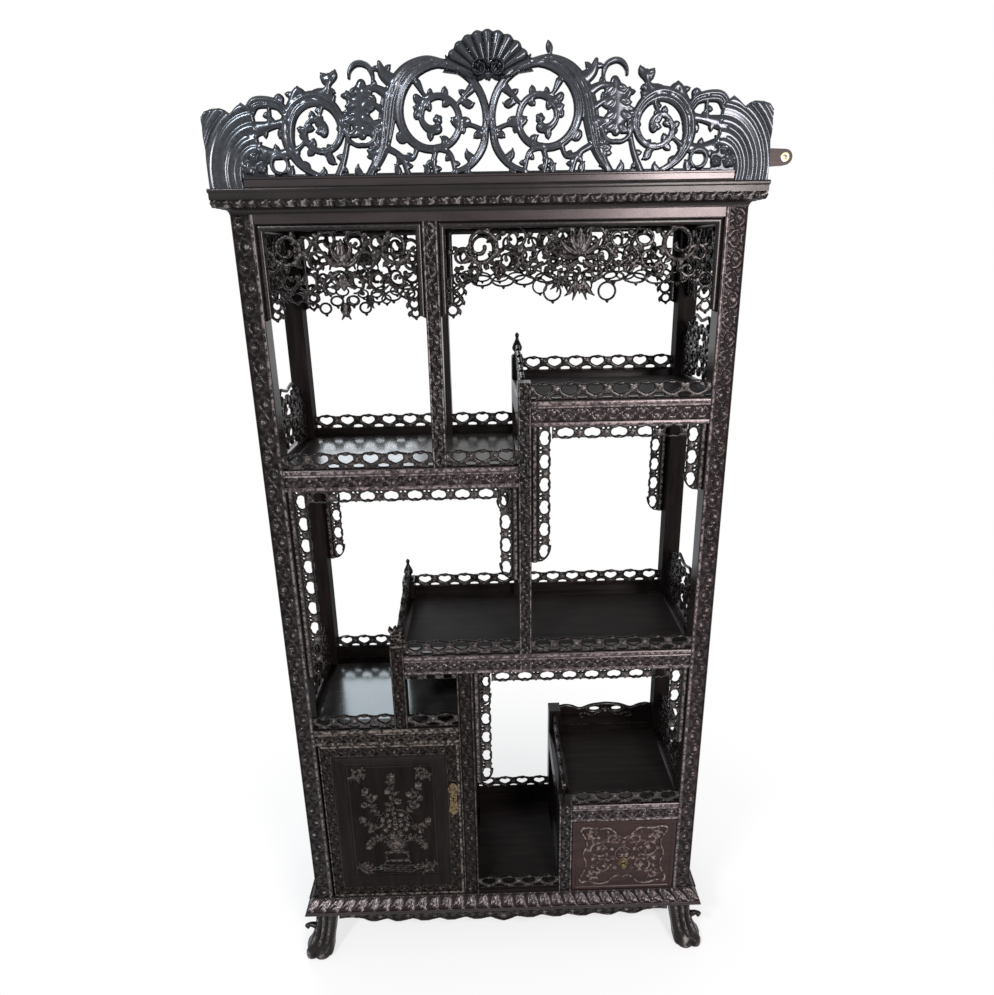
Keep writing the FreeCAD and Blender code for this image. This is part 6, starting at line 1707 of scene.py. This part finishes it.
def drawerCanvas():
    # a raised bracket line with a point at its top, scrolls and blossoms inside, a medallion in the middle
    width, height = drawer["width"], drawer["height"]
    canvas = newCanvas(width, height, 1.45, -width / 2, -height / 2)
    rise = 3.6
    line = np.array([
        (0, 58, 4.6), (12, 64, 4.6), (24, 78, 4.6), (42, 92, 4.8), (72, 90, 4.8), (98, 95, 5.4),
        (112, 90, 6.6), (110, 78, 5), (102, 62, 4.4), (97, 38, 4.4), (106, 8, 4.4), (98, -24, 4.4),
        (104, -52, 4.6), (114, -72, 5.4), (110, -88, 6.6), (94, -84, 5), (70, -92, 4.8), (44, -90, 4.6),
        (26, -72, 4.6), (12, -66, 4.6), (0, -72, 4.6)])
    carveBoth(canvas, smoothPath(line, 7) * (1, 1, 1.15), rise)
    curls = ((64, 26, 27, 190, 1), (50, -34, 23, 160, -1), (30, 52, 16, 210, -1), (82, -62, 14, 60, 1),
             (86, 70, 13, 300, -1))
    shape = ((0, 1, 5), (150, 0.9, 7.4), (290, 0.58, 6), (420, 0.26, 7.4))
    for side in (-1, 1):
        for x, y, radius, start, hand in curls:
            path = curlPath(x, y, radius, start, hand, shape)
            path = mirrored(path, 0.0) if side < 0 else path
            carveRun(canvas, path, rise, 1.0)
            leafFringe(canvas, path, -hand * side, 7, radius * 0.44, 8, rise * 0.85)
            leafFringe(canvas, path[len(path) // 2:], hand * side, 2, radius * 0.34, 7, rise * 0.85)
        for x, y, radius in ((64, 26, 10), (50, -34, 9), (82, -10, 9), (30, 22, 7.5), (26, -8, 7),
                             (68, 62, 7.5), (22, -40, 7), (80, -36, 7), (44, 78, 6)):
            carveFlower(canvas, side * x, y, radius, 5, rise)
    carveRun(canvas, spiralPath(0, 6, [(0, 22, 4), (360, 22, 4)], 10), rise * 0.85)
    carveFlower(canvas, 0.0, 6.0, 17.0, 8, rise * 1.1)
    carveRun(canvas, leafPath(0, 30, 0, 52, 0, 12), rise, 1.0)
    return canvas


front = drawerCanvas()
xs, ys = front["xs"][None, :], front["ys"][:, None]
rim = np.minimum(drawer["width"] / 2 - np.abs(xs), drawer["height"] / 2 - np.abs(ys))
ground = np.where(rim < 9.0, -0.5, -0.5 - 2.2 * np.clip((rim - 9.0) / 2.0, 0, 1))
heights = ground + front["rise"] * (rim > 10) - np.clip(1 - rim / 2.0, 0, 1)
drawerMiddle = drawer["x"] + drawer["width"] / 2
frontPlace = facingFront(drawerMiddle, yFront, drawer["z"] + drawer["height"] / 2)
# the root of the rise as carve values strengthens the painted highlight on the raised line and scrolls
drawerFront = reliefBar(front["xs"], front["ys"], heights, frontPlace,
                        plainBack(frontPlace, drawer["thick"]), np.sqrt(front["rise"]))
finishPiece("drawerFront", [drawerFront], redWood, "drawer_front", "drawer")
knobProfile = [(0.1, 0), (14, 0), (14, 0.9), (12.6, 1.6), (8, 2.2), (4.4, 3.4), (3.4, 5.5), (3.6, 8.6),
               (5.6, 10.4), (7.8, 12), (8.0, 13.6), (7.2, 15.8), (5.0, 17.4), (2.2, 18.0), (0.1, 18.1)]
knobPlace = (drawerMiddle, yFront + 2.0, drawer["z"] + drawer["height"] * 0.4)
finishPiece("drawerKnob", [turnedPart(knobProfile, knobPlace, toFront, 36)],
            brass, "drawer_knob", "drawer", 50.0)


def ringPart(section, origin, axis):
    # a closed section of (radius, height) carried round an axis, open in the middle
    rings = ringsAbout(axis, section, origin, 40)
    index = np.arange(rings.shape[0] * rings.shape[1]).reshape(rings.shape[:2])
    right, below = np.roll(index, -1, 1), np.roll(index, -1, 0)
    quads = np.stack([index, right, np.roll(right, -1, 0), below], -1).reshape(-1, 4)
    return closedPart(rings.reshape(-1, 3), quads, np.zeros((0, 3), int), np.full(index.size, 0.5))


eyelet = {
    "section": [(4.0, 0.6), (4.0, 10.6), (4.6, 11.2), (6.4, 11.2), (6.4, 1.4), (8.4, 1.2), (8.5, 0.6),
                (8.0, 0.1), (4.8, 0.0)],
    "place": (543.16, -192.2, 1967.0),
}
finishPiece("lugEyelet", [ringPart(eyelet["section"], eyelet["place"], toRear)],
            brightBrass, "lug_eyelet", sharp=50.0)
print("drawer and eyelet done")

# Light, floor and camera

floorMesh = bpy.data.meshes.new("studioFloor")
floorMesh.from_pydata([(-9, -7, 0), (9, -7, 0), (9, 9, 0), (-9, 9, 0)], [], [(0, 1, 2, 3)])
floor = addObject("studioFloor", floorMesh)
paper, tree, diffuse = newMaterial("paleFloor")  # to the camera it pales to white away from the feet
link = tree.links.new
diffuse.inputs["Base Color"].default_value = (0.93, 0.93, 0.93, 1)
diffuse.inputs["Roughness"].default_value = 0.9
glow = addNode(tree, "ShaderNodeEmission", Color=(1, 1, 1, 1), Strength=1.0)
spot = addNode(tree, "ShaderNodeTexCoord")
distance = addNode(tree, "ShaderNodeVectorMath", operation="LENGTH")
link(spot.outputs["Object"], distance.inputs[0])
fade = addRange(tree, distance.outputs["Value"], 0.35, 1.25, 0.62, 1.0, interpolation_type="SMOOTHSTEP")
seen = addNode(tree, "ShaderNodeLightPath")
floorMix = addNode(tree, "ShaderNodeMixShader")
link(addMath(tree, "MULTIPLY", fade, seen.outputs["Is Camera Ray"]), floorMix.inputs["Fac"])
link(diffuse.outputs["BSDF"], floorMix.inputs[1])
link(glow.outputs["Emission"], floorMix.inputs[2])
link(floorMix.outputs["Shader"], tree.nodes["Material Output"].inputs["Surface"])
floorMesh.materials.append(paper)

world = bpy.data.worlds.new("studio")
bpy.context.scene.world = world
world.use_nodes = True
tree = world.node_tree
link = tree.links.new
tree.nodes.clear()
worldOut = addNode(tree, "ShaderNodeOutputWorld")
soft = addNode(tree, "ShaderNodeBackground", Color=(0.95, 0.97, 1.0, 1), Strength=0.55)
white = addNode(tree, "ShaderNodeBackground", Color=(1, 1, 1, 1), Strength=1.0)
rays = addNode(tree, "ShaderNodeLightPath").outputs
direct = addMath(tree, "MAXIMUM", rays["Is Camera Ray"], rays["Is Transmission Ray"])
mixed = addNode(tree, "ShaderNodeMixShader")
link(addMath(tree, "MAXIMUM", direct, rays["Is Glossy Ray"]), mixed.inputs["Fac"])
link(soft.outputs["Background"], mixed.inputs[1])
link(white.outputs["Background"], mixed.inputs[2])
link(mixed.outputs["Shader"], worldOut.inputs["Surface"])


def addLamp(name, place, target, size, power, colour):
    # a rectangular lamp at a place, turned to its target
    lamp = bpy.data.lights.new(name, "AREA")
    lamp.shape = "RECTANGLE"
    lamp.size, lamp.size_y = size
    lamp.energy = power
    lamp.color = colour
    item = addObject(name, lamp)
    item.location = place
    item.rotation_euler = (Vector(target) - Vector(place)).to_track_quat("-Z", "Y").to_euler()


addLamp("keyLamp", (-1.7, -2.9, 3.4), (0, 0, 1.1), (0.5, 0.5), 84.0, (0.93, 0.97, 1.0))
addLamp("fillLamp", (1.15, -2.9, 1.9), (0.3, 0, 1.65), (0.6, 1.3), 96.0, (1.0, 0.89, 0.88))
addLamp("windowLamp", (-1.2, 2.6, 2.6), (-0.3, 0, 1.0), (1.6, 1.2), 32.0, (0.86, 0.93, 1.0))

camera = bpy.data.cameras.new("photoCamera")
camera.lens = 25.587
camera.sensor_width = 36.0
camera.sensor_fit = "AUTO"
camera.shift_x = -0.0009
camera.shift_y = -0.0011
cameraObject = addObject("photoCamera", camera)
right = Vector((0.99964, -0.02088, -0.01677))
up = Vector((0.02253, 0.31698, 0.94816))
forward = Vector((0.01448, 0.9482, -0.31734))
turned = Matrix((right, up, -forward)).transposed().to_4x4()
cameraObject.matrix_world = Matrix.Translation((-0.02894, -1.6396, 1.7933)) @ turned
bpy.context.scene.camera = cameraObject
bpy.context.scene.view_settings.view_transform = "Standard"

bpy.context.view_layer.update()
print("scene done")
